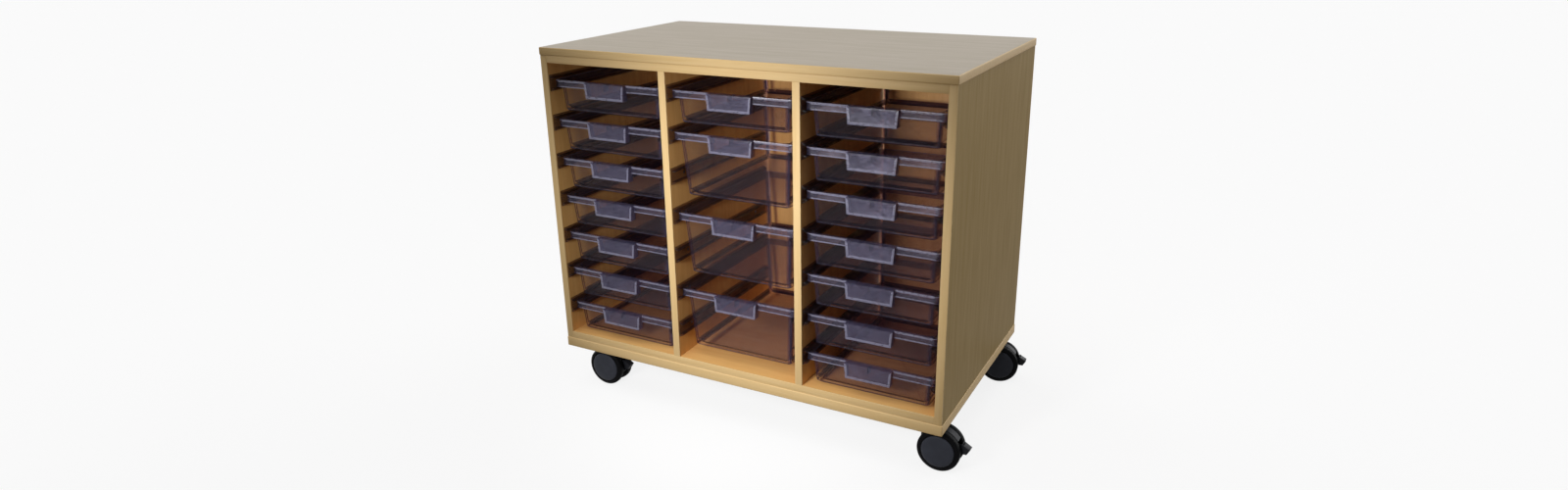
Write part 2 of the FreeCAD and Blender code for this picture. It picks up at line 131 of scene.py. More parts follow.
def new_material(name: str) -> tuple[bpy.types.Material, bpy.types.NodeTree]:
    """Make an empty node material.

    Args:
        name: The finish's name.

    Returns:
        The material and its node tree.
    """
    material = bpy.data.materials.new(name)
    material.use_nodes = True
    material.node_tree.nodes.clear()
    return material, material.node_tree


def set_output(tree: bpy.types.NodeTree, shader: bpy.types.NodeSocket) -> None:
    """Send a shader to the material's output."""
    add_node(tree, "ShaderNodeOutputMaterial", links={"Surface": shader})


def activate(piece: bpy.types.Object) -> None:
    """Select one object alone and make it the active one.

    Args:
        piece: The object.
    """
    bpy.ops.object.select_all(action="DESELECT")
    piece.select_set(True)
    bpy.context.view_layer.objects.active = piece


@contextmanager
def editing(piece: bpy.types.Object, kind: str = "FACE") -> Iterator[None]:
    """Edit a mesh with nothing selected at first.

    Args:
        piece: The mesh object.
        kind: VERT, EDGE or FACE, what the following picks select.
    """
    activate(piece)
    bpy.ops.object.mode_set(mode="EDIT")
    bpy.ops.mesh.select_mode(type=kind)
    bpy.ops.mesh.select_all(action="DESELECT")
    try:
        yield
    finally:
        bpy.ops.object.mode_set(mode="OBJECT")


def pick_faces(piece: bpy.types.Object, wanted: Callable[[Vector, Vector], bool]) -> None:
    """Select the faces whose centre and normal pass a test.

    Args:
        piece: The mesh in edit mode.
        wanted: The test of a face's centre and normal.
    """
    mesh = bmesh.from_edit_mesh(piece.data)
    mesh.normal_update()
    for face in mesh.faces:
        face.select_set(wanted(face.calc_center_median(), face.normal))
    mesh.select_flush_mode()
    bmesh.update_edit_mesh(piece.data)


def pick_edges(piece: bpy.types.Object, wanted: Callable[[Vector, Vector], bool]) -> None:
    """Select the edges whose ends pass a test.

    Args:
        piece: The mesh in edit mode.
        wanted: The test of an edge's two ends.
    """
    mesh = bmesh.from_edit_mesh(piece.data)
    for edge in mesh.edges:
        first, second = edge.verts
        edge.select_set(wanted(first.co, second.co))
    mesh.select_flush_mode()
    bmesh.update_edit_mesh(piece.data)


def extrude(offset: Point) -> None:
    """Extrude what is selected and move it by offset."""
    bpy.ops.mesh.extrude_region_move(TRANSFORM_OT_translate={"value": offset})


def resize(factors: Point, centre: Point) -> None:
    """Scale what is selected about a centre."""
    bpy.ops.transform.resize(value=factors, center_override=centre)


def cut_plane(point: Point, normal: Point) -> None:
    """Cut the whole mesh in edit mode along a plane, and keep both sides.

    Args:
        point: A point of the plane.
        normal: The plane's normal.
    """
    bpy.ops.mesh.select_all(action="SELECT")
    bpy.ops.mesh.bisect(plane_co=point, plane_no=normal)
    bpy.ops.mesh.select_all(action="DESELECT")


def trim_plane(point: Point, normal: Point) -> None:
    """Cut away what lies beyond a plane and close the cut.

    Args:
        point: A point of the plane.
        normal: The plane's normal, towards the side that goes.
    """
    bpy.ops.mesh.select_all(action="SELECT")
    bpy.ops.mesh.bisect(plane_co=point, plane_no=normal, use_fill=True, clear_outer=True)
    bpy.ops.mesh.select_all(action="DESELECT")


def turn_outwards(piece: bpy.types.Object) -> None:
    """Make all the faces of a closed piece point outwards.

    Args:
        piece: The closed mesh.
    """
    with editing(piece):
        bpy.ops.mesh.select_all(action="SELECT")
        bpy.ops.mesh.normals_make_consistent(inside=False)


def add_block(name: str, low: Point, high: Point) -> bpy.types.Object:
    """Add a box between two corners, to be shaped further.

    Args:
        name: The piece's name.
        low: Its lowest corner.
        high: Its highest corner.

    Returns:
        The new object, with its place in its mesh.
    """
    low_corner, high_corner = Vector(low), Vector(high)
    bpy.ops.object.select_all(action="DESELECT")
    bpy.ops.mesh.primitive_cube_add(size=1.0, location=(low_corner + high_corner) / 2)
    piece = bpy.context.object
    piece.name = name
    piece.data.name = name
    piece.scale = high_corner - low_corner
    settle(piece)
    return piece


def settle(piece: bpy.types.Object) -> None:
    """Put an object's place, turn and scale into its mesh."""
    activate(piece)
    bpy.ops.object.transform_apply(location=True, rotation=True, scale=True)


def apply_modifier(piece: bpy.types.Object, kind: str, **settings: object) -> None:
    """Add a modifier with its settings and apply it.

    Args:
        piece: The object it works on.
        kind: The modifier's type.
        **settings: The modifier's properties.
    """
    activate(piece)
    modifier = piece.modifiers.new(kind.lower(), kind)
    for name, value in settings.items():
        setattr(modifier, name, value)
    bpy.ops.object.modifier_apply(modifier=modifier.name)


def round_edges(piece: bpy.types.Object, width: float, segments: int = 2) -> None:
    """Round every sharp edge of a piece.

    Args:
        piece: The object.
        width: How far the rounding reaches from the edge.
        segments: How many faces make it up.
    """
    apply_modifier(
        piece, "BEVEL", width=width, segments=segments, limit_method="ANGLE",
        angle_limit=math.radians(SHARP_DEGREES), use_clamp_overlap=True,
    )


def subtract(piece: bpy.types.Object, tool: bpy.types.Object) -> None:
    """Cut a tool out of a piece and delete the tool."""
    apply_modifier(piece, "BOOLEAN", operation="DIFFERENCE", solver="EXACT", object=tool)
    bpy.data.objects.remove(tool)


def unite(piece: bpy.types.Object, other: bpy.types.Object) -> None:
    """Melt another piece into a piece and delete the other."""
    apply_modifier(piece, "BOOLEAN", operation="UNION", solver="EXACT", object=other)
    bpy.data.objects.remove(other)


def smooth(piece: bpy.types.Object, degrees: float = 35.0) -> None:
    """Shade a piece smooth except at edges sharper than an angle."""
    activate(piece)
    bpy.ops.object.shade_smooth_by_angle(angle=math.radians(degrees))


def join(pieces: list[bpy.types.Object], name: str) -> bpy.types.Object:
    """Join pieces into one object.

    Args:
        pieces: The objects, of which the first keeps its material slots' order.
        name: The joined object's name.

    Returns:
        The joined object.
    """
    activate(pieces[0])
    for other in pieces[1:]:
        other.select_set(True)
    if len(pieces) > 1:
        bpy.ops.object.join()
    joined = bpy.context.object
    joined.name = name
    joined.data.name = name
    return joined


def copy_to(source: bpy.types.Object, name: str, move: Matrix) -> bpy.types.Object:
    """Copy a finished piece, with a mesh of its own.

    Args:
        source: The piece to copy.
        name: The copy's name.
        move: Where the copy goes.

    Returns:
        The copy, with its place in its mesh.
    """
    activate(source)
    bpy.ops.object.duplicate(linked=False)
    piece = bpy.context.object
    piece.name = name
    piece.data.name = name
    piece.matrix_world = move
    settle(piece)
    return piece


def dress(piece: bpy.types.Object, *materials: bpy.types.Material) -> None:
    """Give a piece its materials, in the order of its slots.

    Clearing the slots also clears each face's choice of slot, so a piece with painted
    faces comes here without any material yet.

    Args:
        piece: The object to dress.
        *materials: Its materials.
    """
    if piece.data.materials:
        piece.data.materials.clear()
    for material in materials:
        piece.data.materials.append(material)


def paint_faces(piece: bpy.types.Object, choose: Callable[[Vector, Vector], int]) -> None:
    """Choose each face's material slot by its centre and normal."""
    for face in piece.data.polygons:
        face.material_index = choose(face.center, face.normal)


def mount(
    piece: bpy.types.Object, body: str, slot: str, replaced: Iterable[str] = ()
) -> None:
    """Fix a finished piece to its body and report it.

    Args:
        piece: The finished piece.
        body: The body that it moves with.
        slot: The record's material slot; not used.
        replaced: The nodes that it stands for.
    """
    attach(piece, body)
    nodes = list(replaced)
    if nodes:
        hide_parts(*nodes)
    LOG.info("%s: %d faces, on %s", piece.name, len(piece.data.polygons), body)


# --------------------------------------------------------------------------- finishes
class Grain(Enum):
    """The way a board's printed grain runs."""

    ACROSS = 0
    UPRIGHT = 2


@dataclass(frozen=True)
class Melamine:
    """Melamine-faced board: a printed maple grain under a hard satin film.

    The print gives long soft streaks with short darker pores in them. The film's
    embossing breaks up the gloss along the grain. Real pores are finer, and are drawn
    as coarse as they need to be to show.
    """

    name: str
    pale: str
    dark: str
    grain: Grain
    streak_mm: float = 16.0
    pore_mm: float = 2.2
    grain_length_mm: float = 180.0
    noise_detail: float = 3.0
    noise_roughness: float = 0.6
    streak_span: tuple[float, float] = (0.32, 0.70)
    streak_share: float = 0.6
    pore_span: tuple[float, float] = (0.50, 0.78)
    pore_share: float = 0.4
    roughness: float = 0.46
    smoother: float = 0.06
    rougher: float = 0.08
    relief: float = 0.12
    relief_mm: float = 0.1
    ior: float = 1.5
    specular: float = 0.25

    def material(self) -> bpy.types.Material:
        """Make the finish as a node material.

        Returns:
            The material.
        """
        material, tree = new_material(self.name)
        place = add_node(tree, "ShaderNodeTexCoord").outputs["Object"]
        fields = []
        for width in (self.streak_mm, self.pore_mm):
            scale = [1 / (width * MM)] * 3
            scale[self.grain.value] = 1 / (self.grain_length_mm * MM)
            mapped = add_node(
                tree, "ShaderNodeMapping", {"Scale": scale}, {"Vector": place}
            ).outputs["Vector"]
            noise = add_node(
                tree, "ShaderNodeTexNoise",
                {"Scale": 1.0, "Detail": self.noise_detail, "Roughness": self.noise_roughness},
                {"Vector": mapped},
            )
            fields.append(noise.outputs["Fac"])
        # Streaks carry most of the colour, and pores darken them a little.
        streak, pore = (
            add_node(
                tree, "ShaderNodeMapRange",
                {"From Min": span[0], "From Max": span[1], "To Min": 0.0, "To Max": share},
                {"Value": noise},
            ).outputs["Result"]
            for noise, span, share in (
                (fields[0], self.streak_span, self.streak_share),
                (fields[1], self.pore_span, self.pore_share),
            )
        )
        total = add_node(
            tree, "ShaderNodeMath", links={0: streak, 1: pore}, operation="ADD"
        ).outputs["Value"]
        colour = add_node(
            tree, "ShaderNodeMix", {6: linear(self.pale), 7: linear(self.dark)},
            {"Factor": total}, data_type="RGBA",
        ).outputs[2]
        rough = add_node(
            tree, "ShaderNodeMapRange",
            {
                "To Min": self.roughness - self.smoother,
                "To Max": self.roughness + self.rougher,
            },
            {"Value": fields[1]},
        ).outputs["Result"]
        bump = add_node(
            tree, "ShaderNodeBump",
            {"Strength": self.relief, "Distance": self.relief_mm * MM},
            {"Height": fields[1]},
        ).outputs["Normal"]
        shader = add_node(
            tree, "ShaderNodeBsdfPrincipled",
            {"IOR": self.ior, "Specular IOR Level": self.specular},
            {"Base Color": colour, "Roughness": rough, "Normal": bump},
        )
        set_output(tree, shader.outputs["BSDF"])
        return material


@dataclass(frozen=True)
class ClearPlastic:
    """Moulded clear polystyrene: see-through with a smoky tint and a bright gloss.

    What lies behind shows through with a tint. Where the wall is seen edge on, its
    body colour takes over from that. Flow lines from the mould make the haze streaky,
    and a faint ripple varies the gloss.
    """

    name: str
    tint: str
    body: str
    haze: float
    edge_haze: float
    edge_blend: float = 0.35
    roughness: float = 0.12
    smoothest: float = 0.6
    roughest: float = 1.6
    coat: float = 0.0
    coat_roughness: float = 0.4
    ior: float = 1.59
    specular: float = 1.0
    relief: float = 0.15
    relief_mm: float = 0.3
    ripple_mm: float = 18.0
    streaks: float = 0.3
    streak_span: tuple[float, float] = (0.3, 0.7)
    streaks_per_metre: float = 60.0
    streak_finer: float = 3.0

    def material(self) -> bpy.types.Material:
        """Make the finish as a node material.

        Returns:
            The material.
        """
        material, tree = new_material(self.name)
        place = add_node(tree, "ShaderNodeTexCoord").outputs["Object"]
        ripples = 1 / (self.ripple_mm * MM)
        noise = add_node(
            tree, "ShaderNodeTexNoise", {"Scale": ripples, "Detail": 2.0}, {"Vector": place}
        ).outputs["Fac"]
        rough = add_node(
            tree, "ShaderNodeMapRange",
            {
                "To Min": self.roughness * self.smoothest,
                "To Max": self.roughness * self.roughest,
            },
            {"Value": noise},
        ).outputs["Result"]
        bump = add_node(
            tree, "ShaderNodeBump",
            {"Strength": self.relief, "Distance": self.relief_mm * MM},
            {"Height": noise},
        ).outputs["Normal"]
        # The haze grows as the wall turns edge on.
        facing = add_node(
            tree, "ShaderNodeLayerWeight", {"Blend": self.edge_blend}
        ).outputs["Facing"]
        share = add_node(
            tree, "ShaderNodeMapRange", {"To Min": self.haze, "To Max": self.edge_haze},
            {"Value": facing},
        ).outputs["Result"]
        # Flow lines are wide along the front of a moulding and fine in its height.
        drawn = add_node(
            tree, "ShaderNodeMapping",
            {"Scale": (ripples, self.streaks_per_metre, self.streak_finer * ripples)},
            {"Vector": place},
        ).outputs["Vector"]
        flow = add_node(
            tree, "ShaderNodeTexNoise", {"Scale": 1.0, "Detail": 3.0}, {"Vector": drawn}
        ).outputs["Fac"]
        streak = add_node(
            tree, "ShaderNodeMapRange",
            {
                "From Min": self.streak_span[0], "From Max": self.streak_span[1],
                "To Min": 1 - self.streaks, "To Max": 1 + self.streaks,
            },
            {"Value": flow},
        ).outputs["Result"]
        share = add_node(
            tree, "ShaderNodeMath", links={0: share, 1: streak}, operation="MULTIPLY"
        ).outputs["Value"]
        clear = add_node(
            tree, "ShaderNodeBsdfTransparent", {"Color": linear(self.tint)}
        ).outputs["BSDF"]
        surface = add_node(
            tree, "ShaderNodeBsdfPrincipled",
            {
                "Base Color": linear(self.body), "IOR": self.ior,
                "Specular IOR Level": self.specular,
                "Coat Weight": self.coat, "Coat Roughness": self.coat_roughness,
            },
            {"Roughness": rough, "Normal": bump},
        ).outputs["BSDF"]
        mixed = add_node(tree, "ShaderNodeMixShader", links={0: share, 1: clear, 2: surface})
        set_output(tree, mixed.outputs["Shader"])
        return material


@dataclass(frozen=True)
class Moulding:
    """Opaque moulded plastic or rubber with a fine spark-eroded texture.

    Real grit is finer, and is drawn as coarse as it needs to be to dull the gloss.
    """

    name: str
    pale: str
    dark: str
    roughness: float
    spread: float = 0.08
    grit_mm: float = 1.2
    cloud_mm: float = 19.2
    relief: float = 0.3
    relief_mm: float = 0.05
    ior: float = 1.5
    specular: float = 0.1

    def material(self) -> bpy.types.Material:
        """Make the finish as a node material.

        Returns:
            The material.
        """
        material, tree = new_material(self.name)
        place = add_node(tree, "ShaderNodeTexCoord").outputs["Object"]
        grit = add_node(
            tree, "ShaderNodeTexNoise", {"Scale": 1 / (self.grit_mm * MM), "Detail": 2.0},
            {"Vector": place},
        ).outputs["Fac"]
        cloud = add_node(
            tree, "ShaderNodeTexNoise", {"Scale": 1 / (self.cloud_mm * MM), "Detail": 3.0},
            {"Vector": place},
        ).outputs["Fac"]
        colour = add_node(
            tree, "ShaderNodeMix", {6: linear(self.pale), 7: linear(self.dark)},
            {"Factor": cloud}, data_type="RGBA",
        ).outputs[2]
        rough = add_node(
            tree, "ShaderNodeMapRange",
            {"To Min": self.roughness - self.spread, "To Max": self.roughness + self.spread},
            {"Value": cloud},
        ).outputs["Result"]
        bump = add_node(
            tree, "ShaderNodeBump",
            {"Strength": self.relief, "Distance": self.relief_mm * MM},
            {"Height": grit},
        ).outputs["Normal"]
        shader = add_node(
            tree, "ShaderNodeBsdfPrincipled",
            {"IOR": self.ior, "Specular IOR Level": self.specular},
            {"Base Color": colour, "Roughness": rough, "Normal": bump},
        )
        set_output(tree, shader.outputs["BSDF"])
        return material


@dataclass(frozen=True)
class PlatedSteel:
    """Zinc-plated steel: a soft grey metal with a faint cloudy passivation."""

    name: str
    pale: str
    dark: str
    roughness: float = 0.34
    spread: float = 0.1
    cloud_mm: float = 7.0

    def material(self) -> bpy.types.Material:
        """Make the finish as a node material.

        Returns:
            The material.
        """
        material, tree = new_material(self.name)
        place = add_node(tree, "ShaderNodeTexCoord").outputs["Object"]
        cloud = add_node(
            tree, "ShaderNodeTexNoise", {"Scale": 1 / (self.cloud_mm * MM), "Detail": 4.0},
            {"Vector": place},
        ).outputs["Fac"]
        colour = add_node(
            tree, "ShaderNodeMix", {6: linear(self.pale), 7: linear(self.dark)},
            {"Factor": cloud}, data_type="RGBA",
        ).outputs[2]
        rough = add_node(
            tree, "ShaderNodeMapRange",
            {"To Min": self.roughness - self.spread, "To Max": self.roughness + self.spread},
            {"Value": cloud},
        ).outputs["Result"]
        shader = add_node(
            tree, "ShaderNodeBsdfPrincipled", {"Metallic": 1.0},
            {"Base Color": colour, "Roughness": rough},
        )
        set_output(tree, shader.outputs["BSDF"])
        return material


class Palette:
    """Every finish of the unit, made once."""

    def __init__(self) -> None:
        """Make the materials."""
        # Melamine foil pressed on chipboard, with a maple print. On the top the print is set
        # greyer than on the other faces: a painted sheen for the light that its satin film
        # reflects, over the real soft sheen of its gloss.
        top = Melamine(
            "maple_melamine_top", "#A89C8B", "#958870", Grain.ACROSS, specular=0.5
        )
        self.top = top.material()
        self.faces: dict[Grain, bpy.types.Material] = {}
        self.inside: dict[Grain, bpy.types.Material] = {}
        self.edging: dict[Grain, bpy.types.Material] = {}
        for grain in Grain:
            word = grain.name.lower()
            # The same foil on the outer faces, set darker than the foil itself: a matt fawn with
            # soft streaks and painted shade.
            face = Melamine(
                "maple_melamine_" + word, "#AB9469", "#988153", grain, specular=0.01
            )
            self.faces[grain] = face.material()
            # The foil in the bays, set a brighter and warmer amber than the foil itself: painted
            # bounce light, for the light that each board throws on the next.
            inside = Melamine("maple_melamine_inside_painted_bounce_" + word, "#E8B672", "#D49C58", grain)
            self.inside[grain] = inside.material()
            # Extruded ABS edging tape: plainer and yellower than the faces, so that
            # each board is drawn round with a pale line.
            tape = Melamine(
                "abs_edging_" + word, "#D2B584", "#C6A670", grain, streak_mm=7.0,
                pore_mm=1.8, roughness=0.55,
            )
            self.edging[grain] = tape.material()
        # Pressed hardboard with a printed face: a warm tan with a low sheen, made amber like the
        # foil in the bays with painted bounce light.
        self.back = Melamine(
            "printed_hardboard_painted_bounce", "#DCB072", "#C8985C", Grain.UPRIGHT, roughness=0.5
        ).material()
        # Injection-moulded polystyrene, polished: nearly invisible face on, with a
        # bright gloss, and smoky where the wall turns away.
        self.tray_wall = ClearPlastic(
            "clear_polystyrene_wall", "#FEFCF9", "#665E6C", 0.02, 0.13, roughness=0.1
        ).material()
        # Its textured panel on the handle: a pale violet haze with mottled streaks. At the foot
        # and down the corners the same pale haze is a painted highlight, for the glints along the
        # plastic's edges.
        self.tray_panel = ClearPlastic(
            "clear_polystyrene_panel", "#D0CCDE", "#64607E", 0.16, 0.3, roughness=0.35, coat=1.0,
            streaks=0.4, ripple_mm=9.0
        ).material()
        # Its thick borders round the handle and along the lip: a dense pale violet haze, a
        # painted highlight drawn as pale lines for the light that the thick plastic catches.
        self.tray_frame = ClearPlastic(
            "clear_polystyrene_frame", "#DAD8E6", "#8684A0", 0.4, 0.5, roughness=0.3, coat=1.0,
            streaks=0.15, ripple_mm=9.0
        ).material()
        # The sunk band of the lip: a thinner haze that lets the dark behind show.
        self.tray_lip = ClearPlastic(
            "clear_polystyrene_lip", "#E0DAE6", "#5E5A72", 0.1, 0.2, roughness=0.3, coat=1.0,
            streaks=0.4, ripple_mm=9.0
        ).material()
        # The floor: a violet smoke over whatever lies below the tray. On the flanks of each
        # corner it is painted shade, a dark edge beside the painted highlight.
        self.tray_floor = ClearPlastic(
            "clear_polystyrene_floor", "#F1ECF3", "#564858", 0.04, 0.2
        ).material()
        # The sloping border of the floor: a dense dark smoke, painted shade that draws a dark
        # line for the light that the slope bends away.
        self.tray_foot = ClearPlastic(
            "clear_polystyrene_foot_painted_shade", "#A094A6", "#35303F", 0.22, 0.5
        ).material()
        # The ribs: a dense dark smoke, painted shade that draws them as short dark strokes behind
        # the handle, as they look edge on.
        self.tray_rib = ClearPlastic(
            "clear_polystyrene_rib_painted_shade", "#8A8294", "#1E1B28", 0.6, 0.85
        ).material()
        # Injection-moulded polycarbonate: dark smoke with glassy lights on its edges.
        self.runner = ClearPlastic(
            "smoky_polycarbonate", "#E0D6D4", "#2C2A30", 0.09, 0.33, roughness=0.2
        ).material()
        # Its front ends, drawn in a denser, darker smoke than the rest: lumps of nearly black
        # glass.
        self.runner_end = ClearPlastic(
            "smoky_polycarbonate_end", "#6A6270", "#22202A", 0.5, 0.8, roughness=0.22, coat=0.5
        ).material()
        # Glass-filled nylon from a spark-eroded mould: charcoal with a dull sheen.
        self.nylon = Moulding("glass_filled_nylon", "#26272C", "#1A1B1F", 0.5).material()
        # The hubs' plain nylon is greyer, so that each wheel shows a paler disc.
        self.hub = Moulding("moulded_hub_nylon", "#434650", "#35373F", 0.42).material()
        # Moulded thermoplastic rubber: a deep matt black, set darker than rubber is with painted
        # shade, that outlines the wheel.
        self.tyre = Moulding(
            "thermoplastic_rubber", "#0B0B0D", "#070708", 0.6, specular=0.05
        ).material()
        # Zinc-plated pressed steel: a soft cloudy grey with blurred reflections.
        self.steel = PlatedSteel("zinc_plated_steel", "#B9BBC0", "#94969B").material()
        # Turned beech for the dowels: a pale tan with a fine grain along the peg.
        self.beech = Melamine(
            "turned_beech", "#D0AE7C", "#B58F5C", Grain.UPRIGHT, streak_mm=3.0, roughness=0.6
        ).material()


# ---------------------------------------------------------------------------- carcass
@dataclass
class Carcass:
    """The cabinet's boards, with edging tape on their cut edges."""

    palette: Palette
    tape: float = 2.0 * MM
    soft_edge: float = 0.7 * MM
    eased_edge: float = 2.0 * MM
    edge_steps: int = 3
    slabs: tuple[str, ...] = ("top_board", "base_board")
    shelves: tuple[str, ...] = ("bay_floor", "bay_roof")
    uprights: tuple[str, ...] = ("left_side", "left_divider", "right_divider", "right_side")

    def build(self) -> None:
        """Make every board. The thin backs stay the frame's own."""
        for name in self.slabs:
            self._board(name, Grain.ACROSS, self.eased_edge, taped_sides=True)
        for name in self.shelves:
            self._board(name, Grain.ACROSS, self.soft_edge)
        for name in self.uprights:
            self._board(name, Grain.UPRIGHT, self.soft_edge)

    def _board(
        self, name: str, grain: Grain, radius: float, taped_sides: bool = False
    ) -> None:
        """Model one board and paint its faces and its edging.

        Args:
            name: The node that the board stands for.
            grain: The way its grain runs.
            radius: How far its edges are eased.
            taped_sides: True where the left and right edges are taped as well.
        """
        low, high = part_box(name)
        board = add_block(name + "_faced", low, high)
        with editing(board):
            cut_plane((0, low.y + self.tape, 0), (0, 1, 0))
            cut_plane((0, high.y - self.tape, 0), (0, 1, 0))
            if taped_sides:
                cut_plane((low.x + self.tape, 0, 0), (1, 0, 0))
                cut_plane((high.x - self.tape, 0, 0), (1, 0, 0))
        round_edges(board, radius, self.edge_steps)
        palette = self.palette
        # The top's foil carries a painted sheen, the other outer faces painted shade, and the
        # faces in the bays painted bounce light.
        outer = palette.top if name == "top_board" else palette.faces[grain]
        dress(board, outer, palette.edging[grain], palette.inside[grain])

        def choose(centre: Vector, normal: Vector) -> int:
            """Slot 1 is edging, 2 a face inside a bay, and 0 any other face.

            Args:
                centre: The face's centre.
                normal: Its normal.

            Returns:
                The face's material slot.
            """
            ends = min(centre.y - low.y, high.y - centre.y) < self.tape
            sides = min(centre.x - low.x, high.x - centre.x) < self.tape
            if ends or (taped_sides and sides):
                return 1
            outward = name in self.slabs
            outward |= name == "left_side" and normal.x < 0
            outward |= name == "right_side" and normal.x > 0
            return 0 if outward else 2

        paint_faces(board, choose)
        smooth(board)
        mount(board, "carcass", "laminate", [name])


# ---------------------------------------------------------------------------- runners
@dataclass
class RunnerSet:
    """Side runners: a plate with a braced ledge for the tray's lip and a guard above it."""

    palette: Palette
    plate: float = 2.0 * MM
    reach: float = 12.5 * MM
    ledge_top: float = 17.2 * MM
    ledge: float = 2.0 * MM
    brace: float = 2.6 * MM
    above: float = 12.0 * MM
    below: float = 27.0 * MM
    guard_reach: float = 11.5 * MM
    guard_root: float = 4.5 * MM
    guard_tip: float = 1.8 * MM
    guard_low: float = 3.5 * MM
    stop: float = 4.0 * MM
    stop_inside: float = 1.5 * MM
    end: float = 26.0 * MM
    soft_edge: float = 0.5 * MM
    pitch: float = 96.0 * MM
    rows: int = 7

    def build(self) -> None:
        """Model one runner, and set seven on each side of each bay."""
        pattern = self._runner()
        for bay in ("left", "middle", "right"):
            for side, turn in (("left", 1.0), ("right", -1.0)):
                node = f"{bay}_bay_{side}_runners"
                low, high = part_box(node)
                wall = low.x if side == "left" else high.x
                runners = []
                for row in range(self.rows):
                    rim = high.z - self.above - row * self.pitch
                    place = Matrix.Translation((wall, low.y, rim))
                    mirror = Matrix.Diagonal((turn, 1.0, 1.0, 1.0))
                    runners.append(copy_to(pattern, f"{node}_{row}", place @ mirror))
                joined = join(runners, node + "_moulded")
                turn_outwards(joined)
                smooth(joined)
                dress(joined, self.palette.runner, self.palette.runner_end)
                mount(joined, "carcass", "runner_plastic", [node])
        bpy.data.objects.remove(pattern)

    def _runner(self) -> bpy.types.Object:
        """Model a left-hand runner with its tray's rim level at zero.

        Returns:
            The runner, whose moulded end has the second material slot.
        """
        low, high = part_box("left_bay_left_runners")
        length = high.y - low.y
        runner = add_block("runner", (0, 0, -self.below), (self.plate, length, self.above))
        ledge_low = -self.ledge_top - self.ledge
        root_low = self.above - self.guard_root
        brace_high = self.brace - self.below
        flange = self.reach - self.plate

        def on_plate(centre: Vector, normal: Vector) -> bool:
            """Whether a face is on the plate's side towards the tray."""
            return normal.x > FACING and centre.x < self.plate + TOUCH

        with editing(runner):
            for level in (brace_high, ledge_low, -self.ledge_top, root_low):
                cut_plane((0, 0, level), (0, 0, 1))
            cut_plane((0, length - self.stop, 0), (0, 1, 0))
            cut_plane((0, self.end, 0), (0, 1, 0))
            pick_faces(runner, lambda c, n: on_plate(c, n) and ledge_low < c.z < -self.ledge_top)
            extrude((flange, 0, 0))
            pick_faces(runner, lambda c, n: on_plate(c, n) and c.z < brace_high)
            extrude((flange, 0, ledge_low - brace_high))
            pick_faces(runner, lambda c, n: on_plate(c, n) and c.z > root_low)
            tip = self.guard_low + self.guard_tip
            extrude((self.guard_reach - self.plate, 0, tip - self.above))
            resize((1, 1, self.guard_tip / self.guard_root), (0, 0, tip))
            # The rear stop closes the channel between the ledge and the guard.
            pick_faces(
                runner,
                lambda c, n: on_plate(c, n) and c.y > length - self.stop
                and -self.ledge_top < c.z < root_low,
            )
            extrude((self.guard_reach - self.plate - self.stop_inside, 0, 0))
        round_edges(runner, self.soft_edge)
        # The front stretch is drawn in a denser smoke than the rest behind it.
        paint_faces(runner, lambda c, n: int(c.y < self.end))
        return runner


# ------------------------------------------------------------------------------ trays
class TraySlot(Enum):
    """A tray's material slots."""

    WALL = 0
    PANEL = 1
    FRAME = 2
    FOOT = 3
    FLOOR = 4
    RIB = 5
    LIP = 6


